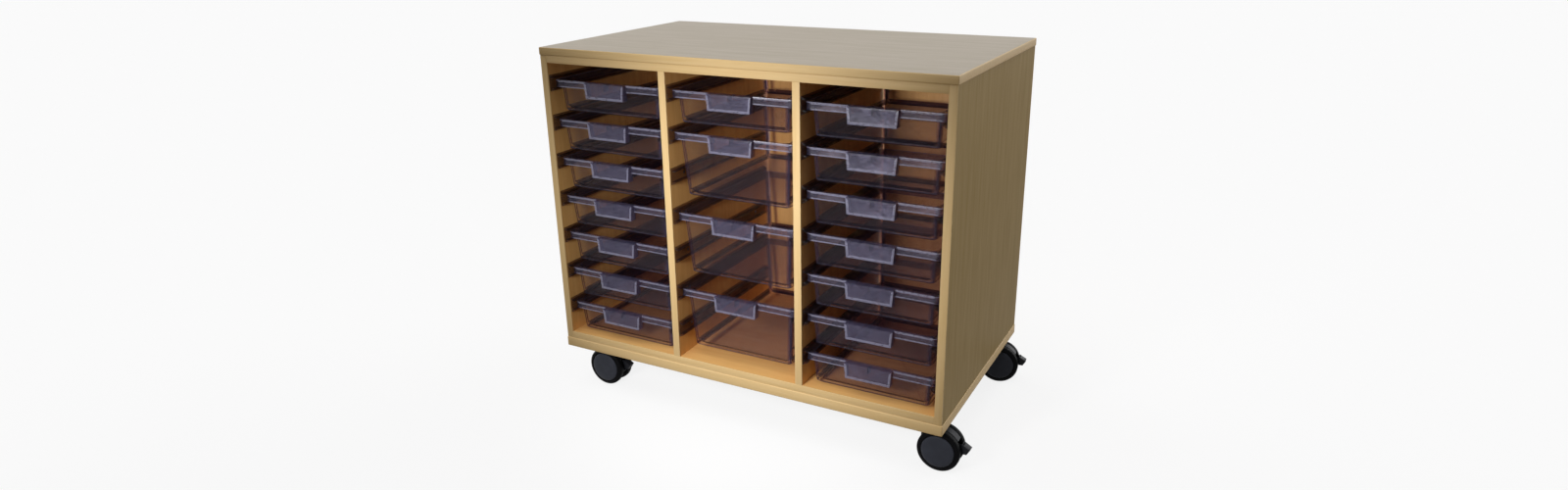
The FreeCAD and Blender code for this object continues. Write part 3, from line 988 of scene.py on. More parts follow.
@dataclass
class TrayMould:
    """One depth of clear tray, about the middle of its rim's front edge."""

    depth: float
    ribs: tuple[float, ...]
    rim_width: float = 312.0 * MM
    length: float = 416.0 * MM
    wall: float = 2.2 * MM
    lip_wall: float = 2.0 * MM
    rim_radius: float = 12.0 * MM
    rim_steps: int = 6
    inset_side: float = 13.0 * MM
    inset_end: float = 6.5 * MM
    draft: float = 0.07
    corner: float = 2.2 * MM
    corner_steps: int = 4
    corner_zone: float = 50.0 * MM
    soft_edge: float = 0.5 * MM
    foot_chamfer: float = 3.0 * MM
    floor_chamfer: float = 10.0 * MM
    lip: float = 17.0 * MM
    reach: float = 11.0 * MM
    handle_top: float = 113.0 * MM
    handle_bottom: float = 107.0 * MM
    handle_height: float = 37.0 * MM
    handle_frame: float = 5.5 * MM
    handle_sink: float = 0.6 * MM
    lip_frame: float = 2.8 * MM
    lip_sink: float = 0.5 * MM
    foot_line: float = 2.2 * MM
    rib: float = 2.4 * MM
    rib_height: float = 17.0 * MM
    # A face whose centre is this near a surface is part of it or of its rounded edge.
    near: float = 0.3 * MM
    # The flat faces in the middle have their centres within this of the rim's centre.
    middle_zone: float = 10.0 * MM
    # How far a face's normal turns, as a share of its length, where its finish changes.
    corner_core: float = 0.5
    corner_flank: float = 0.12
    wall_slope: float = 0.1
    foot_slope: float = 0.3
    floor_slope: float = 0.98
    rib_turn: float = 0.5
    shade_degrees: float = 40.0

    def build(self) -> bpy.types.Object:
        """Model the rim, the body and its hollow, then the handle.

        Returns:
            The tray, with its rim's top level at zero and a slot for each face.
        """
        tray = self._rim()
        self._body(tray)
        self._hollow(tray)
        self._corners(tray)
        self._handle(tray)
        self._panels(tray)
        round_edges(tray, self.soft_edge)
        turn_outwards(tray)
        smooth(tray, self.shade_degrees)
        paint_faces(tray, self._slot)
        return tray

    @property
    def middle(self) -> Vector:
        """The rim's centre."""
        return Vector((0, self.length / 2, 0))

    def _half(self, inset: float, level: float, extra: float = 0.0) -> tuple[float, float]:
        """Half sizes of the body's outline.

        Args:
            inset: How far inside its outer face the outline runs.
            level: The height of the outline.
            extra: A further inset, at a chamfer.

        Returns:
            Half its width and half its length.
        """
        lean = inset - level * self.draft + extra
        half_x = self.rim_width / 2 - self.inset_side - lean
        return half_x, self.length / 2 - self.inset_end - lean

    def _rim(self) -> bpy.types.Object:
        """Lay out the flat rim with rounded corners and turn its lip down.

        Returns:
            The rim, still closed across its middle.
        """
        bpy.ops.object.select_all(action="DESELECT")
        bpy.ops.mesh.primitive_plane_add(size=1.0, location=self.middle)
        tray = bpy.context.object
        tray.name = "tray"
        tray.scale = (self.rim_width, self.length, 1.0)
        settle(tray)
        with editing(tray, "VERT"):
            bpy.ops.mesh.select_all(action="SELECT")
            bpy.ops.mesh.bevel(
                offset=self.rim_radius, segments=self.rim_steps, affect="VERTICES"
            )
        with editing(tray):
            bpy.ops.mesh.select_all(action="SELECT")
            extrude((0, 0, -self.wall))
            bpy.ops.mesh.inset(thickness=self.lip_wall, depth=0.0)
            bpy.ops.mesh.select_all(action="SELECT")
            bpy.ops.mesh.normals_make_consistent(inside=False)
            pick_faces(
                tray,
                lambda c, n: n.z < -FACING
                and (c.xy - self.middle.xy).length > self.middle_zone,
            )
            extrude((0, 0, self.wall - self.lip))
        return tray

    def _body(self, tray: bpy.types.Object) -> None:
        """Draw the body down from the rim's underside, with draft and a chamfered foot.

        Args:
            tray: The rim.
        """
        start_x = self.rim_width / 2 - self.lip_wall
        start_y = self.length / 2 - self.lip_wall
        with editing(tray):
            self._pick_middle(tray, -1, -self.wall)
            steps = Steps(self.middle, start_x, start_y, -self.wall)
            steps.to(*self._half(0, -self.wall), -self.wall)
            bend = self.foot_chamfer - self.depth
            line = bend + self.foot_line
            steps.to(*self._half(0, line), line)
            steps.to(*self._half(0, bend), bend)
            steps.to(*self._half(0, -self.depth, self.foot_chamfer), -self.depth)

    def _hollow(self, tray: bpy.types.Object) -> None:
        """Press the hollow in from the top, down to the floor and its sloping border.

        Args:
            tray: The rim with its solid body.
        """
        floor = self.wall - self.depth
        bend = floor + self.floor_chamfer
        with editing(tray):
            self._pick_middle(tray, 1, 0)
            steps = Steps(self.middle, self.rim_width / 2, self.length / 2, 0)
            steps.to(*self._half(self.wall, 0), 0)
            steps.to(*self._half(self.wall, bend), bend)
            steps.to(*self._half(self.wall, floor, self.floor_chamfer), floor)

    def _corners(self, tray: bpy.types.Object) -> None:
        """Round the body's four upright corners, outside and inside.

        Args:
            tray: The rim with its hollow body.
        """
        across = self.rim_width / 2 - self.inset_side + MM
        along = self.length / 2 - self.inset_end

        def upright(first: Vector, second: Vector) -> bool:
            """Find the edges down the body's corners, which lie inside the rim's lip.

            Args:
                first: One end of the edge.
                second: Its other end.

            Returns:
                True for an edge that runs down a corner.
            """
            inside = all(
                0 < across - abs(end.x) < self.corner_zone
                and 0 < along - abs(end.y - self.middle.y) < self.corner_zone
                for end in (first, second)
            )
            return inside and abs(first.z - second.z) > self.near

        with editing(tray, "EDGE"):
            pick_edges(tray, upright)
            bpy.ops.mesh.bevel(
                offset=self.corner, segments=self.corner_steps, affect="EDGES"
            )

    def _pick_middle(self, tray: bpy.types.Object, facing: int, level: float) -> None:
        """Select the flat face in the middle of a level.

        Args:
            tray: The tray in edit mode.
            facing: 1 for a face that looks up, -1 for one that looks down.
            level: The face's height.
        """
        pick_faces(
            tray,
            lambda c, n: n.z * facing > FACING and abs(c.z - level) < TOUCH
            and (c.xy - self.middle.xy).length < self.middle_zone,
        )

    def _front_block(self, inset: float, behind: float, top: float) -> bpy.types.Object:
        """Make a block in front of the body, whose back leans as the body's wall does.

        Args:
            inset: How far inside the handle's faces the block stays.
            behind: How far its back lies behind the wall's outer face.
            top: Its top level.

        Returns:
            The block, to be joined to the tray or cut from it.
        """
        half = self.handle_top / 2 - inset
        bottom = -self.handle_height - inset
        back = self.inset_end + behind
        block = add_block("block", (-half, inset - self.reach, bottom), (half, back, top))
        narrow = (self.handle_bottom / 2 - inset) / half
        with editing(block):
            pick_faces(block, lambda c, n: n.z < -FACING)
            resize((narrow, 1, 1), (0, 0, bottom))
        with editing(block, "EDGE"):
            pick_edges(
                block,
                lambda a, b: min(a.y, b.y) > back - MM and max(a.z, b.z) < bottom + MM,
            )
            bpy.ops.transform.translate(value=(0, -bottom * self.draft, 0))
        return block

    def _handle(self, tray: bpy.types.Object) -> None:
        """Add the hollow handle, open below, and the ribs behind its plate.

        Args:
            tray: The tray without its handle.
        """
        unite(tray, self._front_block(0.0, self.wall / 2, 0.0))
        clearance = 0.05 * MM
        subtract(tray, self._front_block(self.wall, -clearance, -self.wall))
        for place in self.ribs:
            low = (place - self.rib / 2, self.wall / 2 - self.reach, -self.rib_height)
            high = (place + self.rib / 2, self.inset_end + self.wall / 2, -self.wall / 2)
            unite(tray, add_block("rib", low, high))

    def _panels(self, tray: bpy.types.Object) -> None:
        """Sink a shallow panel into the handle and into the lip on each side of it.

        Args:
            tray: The tray with its handle.
        """
        handle = self.handle_top / 2
        with editing(tray):
            pick_faces(tray, lambda c, n: n.y < -FACING and abs(c.y + self.reach) < TOUCH)
            bpy.ops.mesh.inset(thickness=self.handle_frame, depth=-self.handle_sink)
            pick_faces(
                tray,
                lambda c, n: n.y < -FACING and abs(c.y) < TOUCH and abs(c.x) > handle
                and c.z < -self.wall,
            )
            bpy.ops.mesh.inset(
                thickness=self.lip_frame, depth=-self.lip_sink, use_individual=True
            )

    def _slot(self, centre: Vector, normal: Vector) -> int:
        """Tell the handle, its ribs, the lip and the body apart.

        Args:
            centre: A face's centre.
            normal: Its normal.

        Returns:
            The face's material slot.
        """
        half_x, half_y = self._half(0, centre.z)
        at_rib = any(abs(centre.x - place) < self.rib for place in self.ribs)
        behind_plate = self.wall + self.near - self.reach < centre.y < self.inset_end
        if at_rib and behind_plate and abs(normal.x) > self.rib_turn:
            return TraySlot.RIB.value
        if centre.y < -self.near:
            return self._handle_slot(centre)
        beside = abs(centre.x) > half_x + self.near
        before = abs(centre.y - self.middle.y) > half_y + self.near
        if beside or before:
            return self._lip_slot(centre, normal)
        return self._body_slot(centre, normal)

    def _handle_slot(self, centre: Vector) -> int:
        """Choose the handle's finish: a pale frame of painted highlight beside and below its
        panel.

        Args:
            centre: A face's centre.

        Returns:
            The face's material slot.
        """
        beside = abs(centre.x) > self.handle_bottom / 2 - self.handle_frame
        below = centre.z < self.handle_frame - self.handle_height
        return TraySlot.FRAME.value if beside or below else TraySlot.PANEL.value

    def _lip_slot(self, centre: Vector, normal: Vector) -> int:
        """Choose the lip's finish: a pale line of painted highlight along its top and its bottom.

        Args:
            centre: A face's centre.
            normal: Its normal.

        Returns:
            The face's material slot.
        """
        drop = -centre.z
        if abs(normal.z) > FACING and drop < self.wall + self.near:
            return TraySlot.WALL.value if centre.y > self.inset_end else TraySlot.PANEL.value
        line = drop < self.wall + self.lip_frame or drop > self.lip - self.lip_frame
        return TraySlot.FRAME.value if line else TraySlot.LIP.value

    def _body_slot(self, centre: Vector, normal: Vector) -> int:
        """Choose the body's finish: pale lines of painted highlight down its corners and along its
        foot, with painted shade on the corners' flanks and on the sloping borders.

        Args:
            centre: A face's centre.
            normal: Its normal.

        Returns:
            The face's material slot.
        """
        foot = self.foot_chamfer - self.depth
        border = self.wall + self.floor_chamfer - self.depth
        slope = abs(normal.z)
        bend = min(abs(normal.x), abs(normal.y))
        at_foot = centre.z < foot + self.foot_line and slope < self.foot_slope
        # The pale panel haze is a painted highlight here, and the floor's smoke on the flanks
        # painted shade.
        if at_foot or bend > self.corner_core:
            return TraySlot.PANEL.value
        if bend > self.corner_flank:
            return TraySlot.FLOOR.value
        if slope < self.wall_slope or centre.z > border:
            return TraySlot.WALL.value
        return TraySlot.FLOOR.value if slope > self.floor_slope else TraySlot.FOOT.value


class Steps:
    """Walks a selected face or ring from one outline to the next."""

    def __init__(self, middle: Vector, half_x: float, half_y: float, level: float) -> None:
        """Note the outline that the selection has now.

        Args:
            middle: The outlines' centre.
            half_x: Half the outline's width.
            half_y: Half its length.
            level: Its height.
        """
        self.middle = middle
        self.half_x = half_x
        self.half_y = half_y
        self.level = level

    def to(self, half_x: float, half_y: float, level: float) -> None:
        """Extrude the selection and fit it to a new outline.

        Args:
            half_x: Half the new outline's width.
            half_y: Half its length.
            level: Its height.
        """
        extrude((0, 0, level - self.level))
        factors = (half_x / self.half_x, half_y / self.half_y, 1.0)
        resize(factors, (self.middle.x, self.middle.y, level))
        self.half_x, self.half_y, self.level = half_x, half_y, level


@dataclass
class Trays:
    """All the trays in the bays."""

    palette: Palette
    shallow: float = 75.0 * MM
    deep: float = 150.0 * MM
    outer_rib: float = 49.0 * MM

    def build(self, nodes: Iterable[str]) -> None:
        """Model each depth once and set a copy in every tray's place.

        Args:
            nodes: The names of the frame's nodes.
        """
        moulds = {
            self.shallow: TrayMould(self.shallow, (0.0,)),
            self.deep: TrayMould(self.deep, (-self.outer_rib, 0.0, self.outer_rib)),
        }
        patterns = {depth: mould.build() for depth, mould in moulds.items()}
        for node in nodes:
            if "_bay_tray_" not in node:
                continue
            low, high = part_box(node)
            depth = min(moulds, key=lambda d: abs(d - (high.z - low.z)))
            place = ((low.x + high.x) / 2, low.y + moulds[depth].reach, high.z)
            tray = copy_to(patterns[depth], node + "_clear", Matrix.Translation(place))
            palette = self.palette
            dress(
                tray, palette.tray_wall, palette.tray_panel, palette.tray_frame,
                palette.tray_foot, palette.tray_floor, palette.tray_rib, palette.tray_lip,
            )
            mount(tray, node, "tray_plastic", [node])
        for pattern in patterns.values():
            bpy.data.objects.remove(pattern)


# ---------------------------------------------------------------------------- castors
@dataclass
class Castors:
    """Twin-wheel castors, modelled about the swivel axis with the wheels towards +X."""

    palette: Palette
    trail: float = 34.0 * MM
    radius: float = 50.0 * MM
    half_width: float = 31.0 * MM
    half_gap: float = 10.0 * MM
    web: float = 18.0 * MM
    web_inside: float = 0.5 * MM
    web_below: float = 16.0 * MM
    web_cut: Point = (-28.0 * MM, 0.0, -31.0 * MM)
    notch_degrees: float = 34.0
    core_inside: float = 6.0 * MM
    core_behind: float = 14.0 * MM
    head_radius: float = 22.0 * MM
    head_span: tuple[float, float] = (51.0 * MM, 58.4 * MM)
    kingpin_bore: float = 5.06 * MM
    kingpin_span: tuple[float, float] = (26.0 * MM, 70.0 * MM)
    well_bore: float = 7.6 * MM
    well_span: tuple[float, float] = (-20.0 * MM, 26.4 * MM)
    axle_bore: float = 4.06 * MM
    trunnion_bore: float = 2.56 * MM
    trunnion: float = 2.5 * MM
    trunnion_short: float = 0.2 * MM
    hinge_ahead: float = 38.0 * MM
    hinge_up: float = 11.0 * MM
    slot_half: float = 6.0 * MM
    slot_ahead: tuple[float, float] = (26.0 * MM, 60.0 * MM)
    slot_span: tuple[float, float] = (-12.0 * MM, 32.0 * MM)
    tongue: float = 11.0 * MM
    groove: float = 0.9 * MM
    grooves: Point = (3.5 * MM, 7.5 * MM, 11.5 * MM)
    hood_edge: float = 0.6 * MM
    lever_edge: float = 0.5 * MM
    hub_radius: float = 38.0 * MM
    facets: int = 96
    pin_facets: int = 32
    merge: float = 0.02 * MM
    shade_degrees: float = 40.0
    names: tuple[str, ...] = ("front_left", "front_right", "rear_right", "rear_left")

    def build(self, joints: list[dict]) -> None:
        """Model each piece once and set copies at the four corners.

        Args:
            joints: The frame's joints, which give the castors' places and turns.
        """
        places = {joint["name"]: Vector(joint["pos_m"]) for joint in joints if "pos_m" in joint}
        tyre, hub, hood, lever = self._tyre(), self._hub(), self._hood(), self._lever()
        outward = math.radians(90)
        for name in self.names:
            axis = places[name + "_swivel"]
            ahead = places[name + "_brake"] - axis
            turn = Matrix.Rotation(math.atan2(ahead.y, ahead.x), 4, "Z")
            at = Matrix.Translation((axis.x, axis.y, 0)) @ turn
            for word, angle in (("a", outward), ("b", -outward)):
                node = f"{name}_wheel_{word}"
                axle = Matrix.Translation((self.trail, 0, self.radius))
                wheel = at @ axle @ Matrix.Rotation(angle, 4, "X")
                for pattern, kind, finish, slot in (
                    (tyre, "tyre", self.palette.tyre, "castor_tyre"),
                    (hub, "hub", self.palette.hub, "castor_plastic"),
                ):
                    piece = copy_to(pattern, f"{node}_{kind}", wheel)
                    dress(piece, finish)
                    mount(piece, node, slot, [node])
            for pattern, node, body in (
                (hood, name + "_hood", name + "_castor"),
                (lever, name + "_brake_lever", name + "_brake_lever"),
            ):
                piece = copy_to(pattern, node + "_moulded", at)
                dress(piece, self.palette.nylon)
                mount(piece, body, "castor_plastic", [node])
        for pattern in (tyre, hub, hood, lever):
            bpy.data.objects.remove(pattern)

    def _rings(self, name: str, rings: list[tuple[float, float]]) -> bpy.types.Object:
        """Turn a profile into a ring by stepping a circle along it.

        Args:
            name: The piece's name.
            rings: Radius and distance out from the castor's middle, in millimetres.

        Returns:
            The turned piece, with its axle along Z.
        """
        first_radius, first_level = (v * MM for v in rings[0])
        bpy.ops.object.select_all(action="DESELECT")
        bpy.ops.mesh.primitive_circle_add(
            vertices=self.facets, radius=first_radius, location=(0, 0, first_level)
        )
        piece = bpy.context.object
        piece.name = name
        settle(piece)
        with editing(piece, "EDGE"):
            bpy.ops.mesh.select_all(action="SELECT")
            steps = Steps(Vector(), first_radius, first_radius, first_level)
            for radius, level in rings[1:]:
                steps.to(radius * MM, radius * MM, level * MM)
        with editing(piece):
            bpy.ops.mesh.select_all(action="SELECT")
            bpy.ops.mesh.remove_doubles(threshold=self.merge)
            bpy.ops.mesh.select_all(action="SELECT")
            bpy.ops.mesh.normals_make_consistent(inside=False)
        smooth(piece, self.shade_degrees)
        return piece

    def _tyre(self) -> bpy.types.Object:
        """Model a tyre: a closed band with round shoulders and a bead round the hub.

        Returns:
            The tyre, with its axle along Z.
        """
        bead = self.hub_radius / MM
        tread = self.radius / MM
        inner = self.half_gap / MM
        outer = self.half_width / MM
        rings = [
            (bead - 0.5, inner), (tread - 4.0, inner), (tread - 2.0, inner + 0.6),
            (tread - 0.6, inner + 2.0), (tread, inner + 4.0), (tread, outer - 9.5),
            (tread - 0.5, outer - 7.8), (tread - 1.7, outer - 6.4), (tread - 3.5, outer - 5.4),
            (bead + 4.0, outer - 4.3), (bead + 2.5, outer - 4.0), (bead + 1.4, outer - 4.4),
            (bead + 0.8, outer - 5.4), (bead - 0.5, outer - 5.4), (bead - 0.5, inner),
        ]
        return self._rings("tyre", rings)

    def _hub(self) -> bpy.types.Object:
        """Model a hub: a gently domed disc with a soft edge, closed at the back.

        Returns:
            The hub, with its axle along Z.
        """
        edge = self.hub_radius / MM
        inner = self.half_gap / MM
        outer = self.half_width / MM
        rings = [
            (4.2, inner + 0.3), (edge - 1.0, inner + 0.3), (edge, inner + 1.0),
            (edge + 0.5, outer - 5.4), (edge + 0.4, outer - 4.4), (edge - 0.1, outer - 3.4),
            (edge - 0.9, outer - 2.6), (edge - 2.0, outer - 2.0), (edge - 8.0, outer - 1.1),
            (edge - 16.0, outer - 0.5), (edge / 3, outer - 0.15), (0.005, outer),
        ]
        return self._rings("hub", rings)

    def _disc(self, radius: float, width: float) -> bpy.types.Object:
        """Add a disc on the wheels' axle line, to be cut to shape.

        Args:
            radius: Its radius.
            width: Its width along the axle.

        Returns:
            The disc.
        """
        bpy.ops.object.select_all(action="DESELECT")
        bpy.ops.mesh.primitive_cylinder_add(
            vertices=self.facets, radius=radius, depth=width,
            location=(self.trail, 0, self.radius), rotation=(math.radians(90), 0, 0),
        )
        disc = bpy.context.object
        settle(disc)
        return disc

    def _pin(self, radius: float, low: Point, high: Point) -> bpy.types.Object:
        """Add a round tool from one point to another.

        Args:
            radius: Its radius.
            low: One end.
            high: The other end.

        Returns:
            The tool, to cut a bore or to be joined as a pin.
        """
        start, end = Vector(low), Vector(high)
        line = end - start
        bpy.ops.object.select_all(action="DESELECT")
        bpy.ops.mesh.primitive_cylinder_add(
            vertices=self.pin_facets, radius=radius, depth=line.length,
            location=(start + end) / 2, rotation=line.to_track_quat("Z", "Y").to_euler(),
        )
        pin = bpy.context.object
        settle(pin)
        return pin

    def _carve(self, outline: list[tuple[float, float]], width: float) -> bpy.types.Object:
        """Cut a block down to a convex outline in the wheels' plane.

        Args:
            outline: Corners, as millimetres along the trail and up from the axle.
            width: The block's width.

        Returns:
            The plate.
        """
        corners = [
            Vector((self.trail + x * MM, 0, self.radius + z * MM)) for x, z in outline
        ]
        low = Vector([min(c[i] for c in corners) for i in range(3)])
        high = Vector([max(c[i] for c in corners) for i in range(3)])
        side = Vector((0, width / 2, 0))
        plate = add_block("plate", low - side, high + side)
        middle = sum(corners, Vector()) / len(corners)
        for first, second in zip(corners, corners[1:] + corners[:1]):
            run = second - first
            out = Vector((run.z, 0, -run.x))
            if out.dot(first - middle) < 0:
                out.negate()
            # The block already has the outline's level and upright sides.
            if min(abs(out.x), abs(out.z)) > TOUCH:
                with editing(plate):
                    trim_plane(first, out)
        return plate

    def _hood(self) -> bpy.types.Object:
        """Model the hood: a web between the wheels under a round swivel head.

        Returns:
            The hood, with its bores and the lever's slot.
        """
        axle = Vector((self.trail, 0, self.radius))
        foot = axle - Vector((0, 0, self.web_below))
        notch = math.radians(self.notch_degrees)
        hood = self._disc(self.radius - self.web_inside, self.web)
        with editing(hood):
            trim_plane(axle, (math.sin(notch), 0, -math.cos(notch)))
            trim_plane(foot, self.web_cut)
        core = self._disc(self.radius - self.core_inside, self.web)
        with editing(core):
            trim_plane(foot, (0, 0, -1))
            trim_plane(axle - Vector((self.core_behind, 0, 0)), (-1, 0, 0))
        unite(hood, core)
        neck = [(-45.0, 51.5), (-23.0, 51.5), (-14.0, 20.0), (-14.0, -16.0), (-45.0, 12.0)]
        unite(hood, self._carve(neck, self.web))
        unite(hood, self._post(self.head_radius, self.head_span))
        slot_low = Vector((self.slot_ahead[0], -self.slot_half, self.slot_span[0]))
        slot_high = Vector((self.slot_ahead[1], self.slot_half, self.slot_span[1]))
        for tool in (
            add_block("slot", axle + slot_low, axle + slot_high),
            self._post(self.kingpin_bore, self.kingpin_span),
            self._post(self.well_bore, self.well_span),
            self._crossbar(self.axle_bore, axle, self.web / 2 + MM),
            self._crossbar(self.trunnion_bore, self._hinge, self.web / 2 + MM),
        ):
            subtract(hood, tool)
        round_edges(hood, self.hood_edge)
        smooth(hood)
        return hood

    @property
    def _hinge(self) -> Vector:
        """The brake lever's hinge, ahead of the axle and above it."""
        return Vector((self.trail + self.hinge_ahead, 0, self.radius + self.hinge_up))

    def _post(self, radius: float, span: tuple[float, float]) -> bpy.types.Object:
        """Add an upright pin on the swivel axis.

        Args:
            radius: Its radius.
            span: Its lower and upper end, above the axle's height.

        Returns:
            The pin.
        """
        low, high = (self.radius + level for level in span)
        return self._pin(radius, (0, 0, low), (0, 0, high))

    def _crossbar(self, radius: float, middle: Vector, half: float) -> bpy.types.Object:
        """Add a pin across the castor.

        Args:
            radius: Its radius.
            middle: Its middle.
            half: Half its length.

        Returns:
            The pin.
        """
        reach = Vector((0, half, 0))
        return self._pin(radius, middle - reach, middle + reach)

    def _lever(self) -> bpy.types.Object:
        """Model the brake lever: a tongue in the hood's slot and a ribbed pedal.

        Returns:
            The lever, on its trunnions.
        """
        tongue = [(30.0, 16.0), (34.0, 20.0), (48.0, 21.0), (54.0, 18.0), (54.0, 0.0),
                  (46.0, 2.0)]
        pedal = [(50.5, 22.0), (56.5, 21.5), (68.6, 11.3), (60.8, -1.6), (50.5, -1.6)]
        half = self.web / 2 - self.trunnion_short
        lever = self._carve(pedal, 2 * half)
        unite(lever, self._carve(tongue, self.tongue))
        unite(lever, self._crossbar(self.trunnion, self._hinge, half))
        # Grip grooves run across the pedal's sloping top.
        heel, toe = (
            Vector((self.trail + ahead * MM, 0, self.radius + up * MM)) for ahead, up in pedal[1:3]
        )
        slope = (toe - heel).normalized()
        for step in self.grooves:
            subtract(lever, self._crossbar(self.groove, heel + slope * step, self.web / 2))
        round_edges(lever, self.lever_edge)
        smooth(lever)
        return lever


# ----------------------------------------------------------------------------- studio
@dataclass
class Studio:
    """The camera, the lamps and the pale floor."""

    camera_place: Point = (1051.1 * MM, -2003.7 * MM, 1185.9 * MM)
    azimuth: float = 28.188
    elevation: float = 19.68
    roll: float = -0.828
    focal_px: float = 955.146
    picture_width: int = 1600
    sensor_mm: float = 36.0
    floor_radius: float = 60.0
    floor_drop: float = 0.2 * MM
    floor_facets: int = 96
    floor_glow: float = 0.85
    key_place: Point = (0.03, -1.5, 0.93)
    key_aim: Point = (0.02, -0.3, 0.465)
    key_level: float = 1.37
    key_cone: float = 60.0
    key_radius: float = 0.16
    sky_place: Point = (-0.4, -0.7, 4.0)
    sky_aim: Point = (0.0, 0.0, 0.5)
    sky_level: float = 0.41
    sky_degrees: float = 50.0
    fill_level: float = 0.13
    side_lamps: tuple[tuple[Point, float], ...] = (
        ((-4.0, 0.6, 1.2), 0.4), ((2.2, 3.6, 1.4), 0.64),
    )

    def build(self) -> None:
        """Set up the whole studio."""
        self._camera()
        self._floor()
        self._key()
        self._sky()
        self._world()
        scene = bpy.context.scene
        scene.view_settings.view_transform = "Standard"
        scene.cycles.transparent_max_bounces = 48

    def _camera(self) -> None:
        """Place the camera by its azimuth, elevation and roll."""
        az, el, roll = (math.radians(a) for a in (self.azimuth, self.elevation, self.roll))
        ahead = Vector((-math.sin(az) * math.cos(el), math.cos(az) * math.cos(el), -math.sin(el)))
        right = ahead.cross(Vector((0, 0, 1))).normalized()
        up = right.cross(ahead)
        turned = math.cos(roll) * right + math.sin(roll) * up
        upright = -math.sin(roll) * right + math.cos(roll) * up
        data = bpy.data.cameras.new("camera")
        data.sensor_width = self.sensor_mm
        data.lens = self.focal_px / self.picture_width * self.sensor_mm
        camera = bpy.data.objects.new("camera", data)
        camera.matrix_world = Matrix.Translation(self.camera_place) @ Matrix(
            (turned, upright, -ahead)
        ).transposed().to_4x4()
        bpy.context.scene.collection.objects.link(camera)
        bpy.context.scene.camera = camera

    def _floor(self) -> None:
        """Lay a wide white floor that keeps a soft shadow."""
        bpy.ops.object.select_all(action="DESELECT")
        bpy.ops.mesh.primitive_circle_add(
            vertices=self.floor_facets, radius=self.floor_radius, fill_type="NGON",
            location=(0, 0, -self.floor_drop),
        )
        floor = bpy.context.object
        floor.name = "studio_floor"
        settle(floor)
        material, tree = new_material("white_paper_sweep")
        # The sweep looks white, and sends little light back up under the unit.
        seen = add_node(tree, "ShaderNodeLightPath")
        tone = add_node(
            tree, "ShaderNodeMix", {6: linear("#FAFAFA"), 7: linear("#665A48")},
            {"Factor": seen.outputs["Is Diffuse Ray"]}, data_type="RGBA",
        ).outputs[2]
        paper = add_node(
            tree, "ShaderNodeBsdfDiffuse", links={"Color": tone}
        ).outputs["BSDF"]
        glow = add_node(
            tree, "ShaderNodeEmission", {"Color": (1, 1, 1, 1), "Strength": 1.0}
        ).outputs["Emission"]
        ray = add_node(
            tree, "ShaderNodeMath",
            links={0: seen.outputs["Is Camera Ray"], 1: seen.outputs["Is Glossy Ray"]},
            operation="MAXIMUM",
        ).outputs["Value"]
        share = add_node(
            tree, "ShaderNodeMath", {1: self.floor_glow}, {0: ray}, operation="MULTIPLY"
        ).outputs["Value"]
        mixed = add_node(tree, "ShaderNodeMixShader", links={0: share, 1: paper, 2: glow})
        set_output(tree, mixed.outputs["Shader"])
        dress(floor, material)

    def _hang(self, data: bpy.types.Light, place: Point, aim: Point) -> None:
        """Put a lamp at a place and aim it.

        Args:
            data: The lamp.
            place: Where it hangs.
            aim: The point that it lights.
        """
        lamp = bpy.data.objects.new(data.name, data)
        lamp.location = place
        lamp.rotation_euler = (Vector(aim) - Vector(place)).to_track_quat("-Z", "Y").to_euler()
        bpy.context.scene.collection.objects.link(lamp)

    def _key(self) -> None:
        """Set a soft key lamp beside the camera; its cone fades from the middle out."""
        distance = (Vector(self.key_aim) - Vector(self.key_place)).length
        data = bpy.data.lights.new("key", "SPOT")
        data.energy = 4 * math.pi**2 * distance**2 * self.key_level
        data.spot_size = math.radians(self.key_cone)
        data.spot_blend = 1.0
        data.shadow_soft_size = self.key_radius
        self._hang(data, self.key_place, self.key_aim)

    def _sky(self) -> None:
        """Add very soft lights from above, from the left and from behind."""
        lamps = ((self.sky_place, self.sky_level), *self.side_lamps)
        for place, level in lamps:
            data = bpy.data.lights.new("sky", "SUN")
            data.energy = math.pi * level
            data.angle = math.radians(self.sky_degrees)
            self._hang(data, place, self.sky_aim)

    def _world(self) -> None:
        """Fill evenly, and show white behind the unit and in its reflections."""
        world = bpy.data.worlds.new("studio_fill")
        bpy.context.scene.world = world
        world.use_nodes = True
        tree = world.node_tree
        tree.nodes.clear()
        fill = add_node(
            tree, "ShaderNodeBackground",
            {"Color": linear("#F0F2F6"), "Strength": self.fill_level},
        ).outputs["Background"]
        white = add_node(
            tree, "ShaderNodeBackground", {"Color": (1, 1, 1, 1), "Strength": 1.0}
        ).outputs["Background"]
        seen = add_node(tree, "ShaderNodeLightPath")
        ray = add_node(
            tree, "ShaderNodeMath", links={
                0: seen.outputs["Is Camera Ray"], 1: seen.outputs["Is Transmission Ray"]
            }, operation="MAXIMUM",
        ).outputs["Value"]
        shown = add_node(
            tree, "ShaderNodeMath", links={0: ray, 1: seen.outputs["Is Glossy Ray"]},
            operation="MAXIMUM",
        ).outputs["Value"]
        mixed = add_node(tree, "ShaderNodeMixShader", links={0: shown, 1: fill, 2: white})
        add_node(
            tree, "ShaderNodeOutputWorld", links={"Surface": mixed.outputs["Shader"]}
        )


def dress_nodes(frame: dict, palette: Palette) -> None:
    """Give the frame's nodes their finishes, which shows on those that stay.

    Args:
        frame: The loaded frame.
        palette: The finishes.
    """
    by_slot = {
        "back_board": palette.back, "beech": palette.beech, "screw_steel": palette.steel,
        "plate_steel": palette.steel, "axle_steel": palette.steel,
        "castor_plastic": palette.nylon, "castor_tyre": palette.tyre,
        "laminate": palette.faces[Grain.ACROSS], "tray_plastic": palette.tray_wall,
        "runner_plastic": palette.runner,
    }
    for part in frame["record"]["subparts"]:
        dress(frame["nodes"][part["node"]], by_slot[part["material_slot"]])


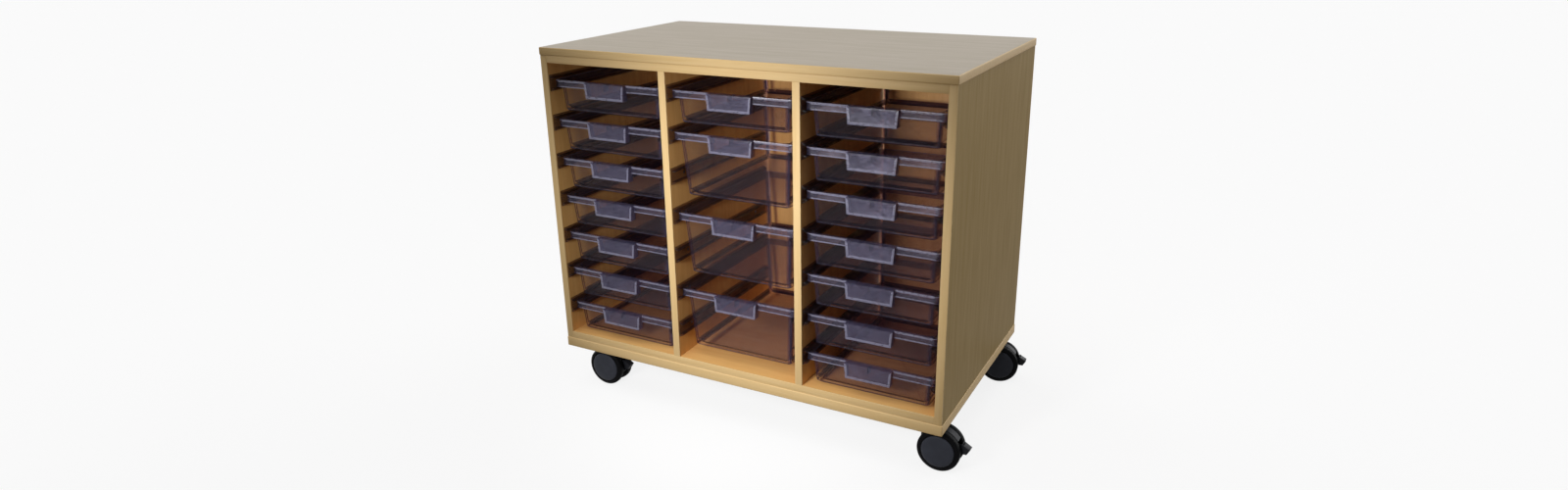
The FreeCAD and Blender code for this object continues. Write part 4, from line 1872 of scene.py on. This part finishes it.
def main() -> None:
    """Build the unit's looks around the frame."""
    logging.basicConfig(level=logging.INFO, format="%(name)s: %(message)s")
    for leftover in list(bpy.data.objects):
        bpy.data.objects.remove(leftover)
    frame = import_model()
    palette = Palette()
    dress_nodes(frame, palette)
    Studio().build()
    Carcass(palette).build()
    RunnerSet(palette).build()
    Trays(palette).build(frame["nodes"])
    Castors(palette).build(frame["joints"])


if __name__ == "__main__":
    main()
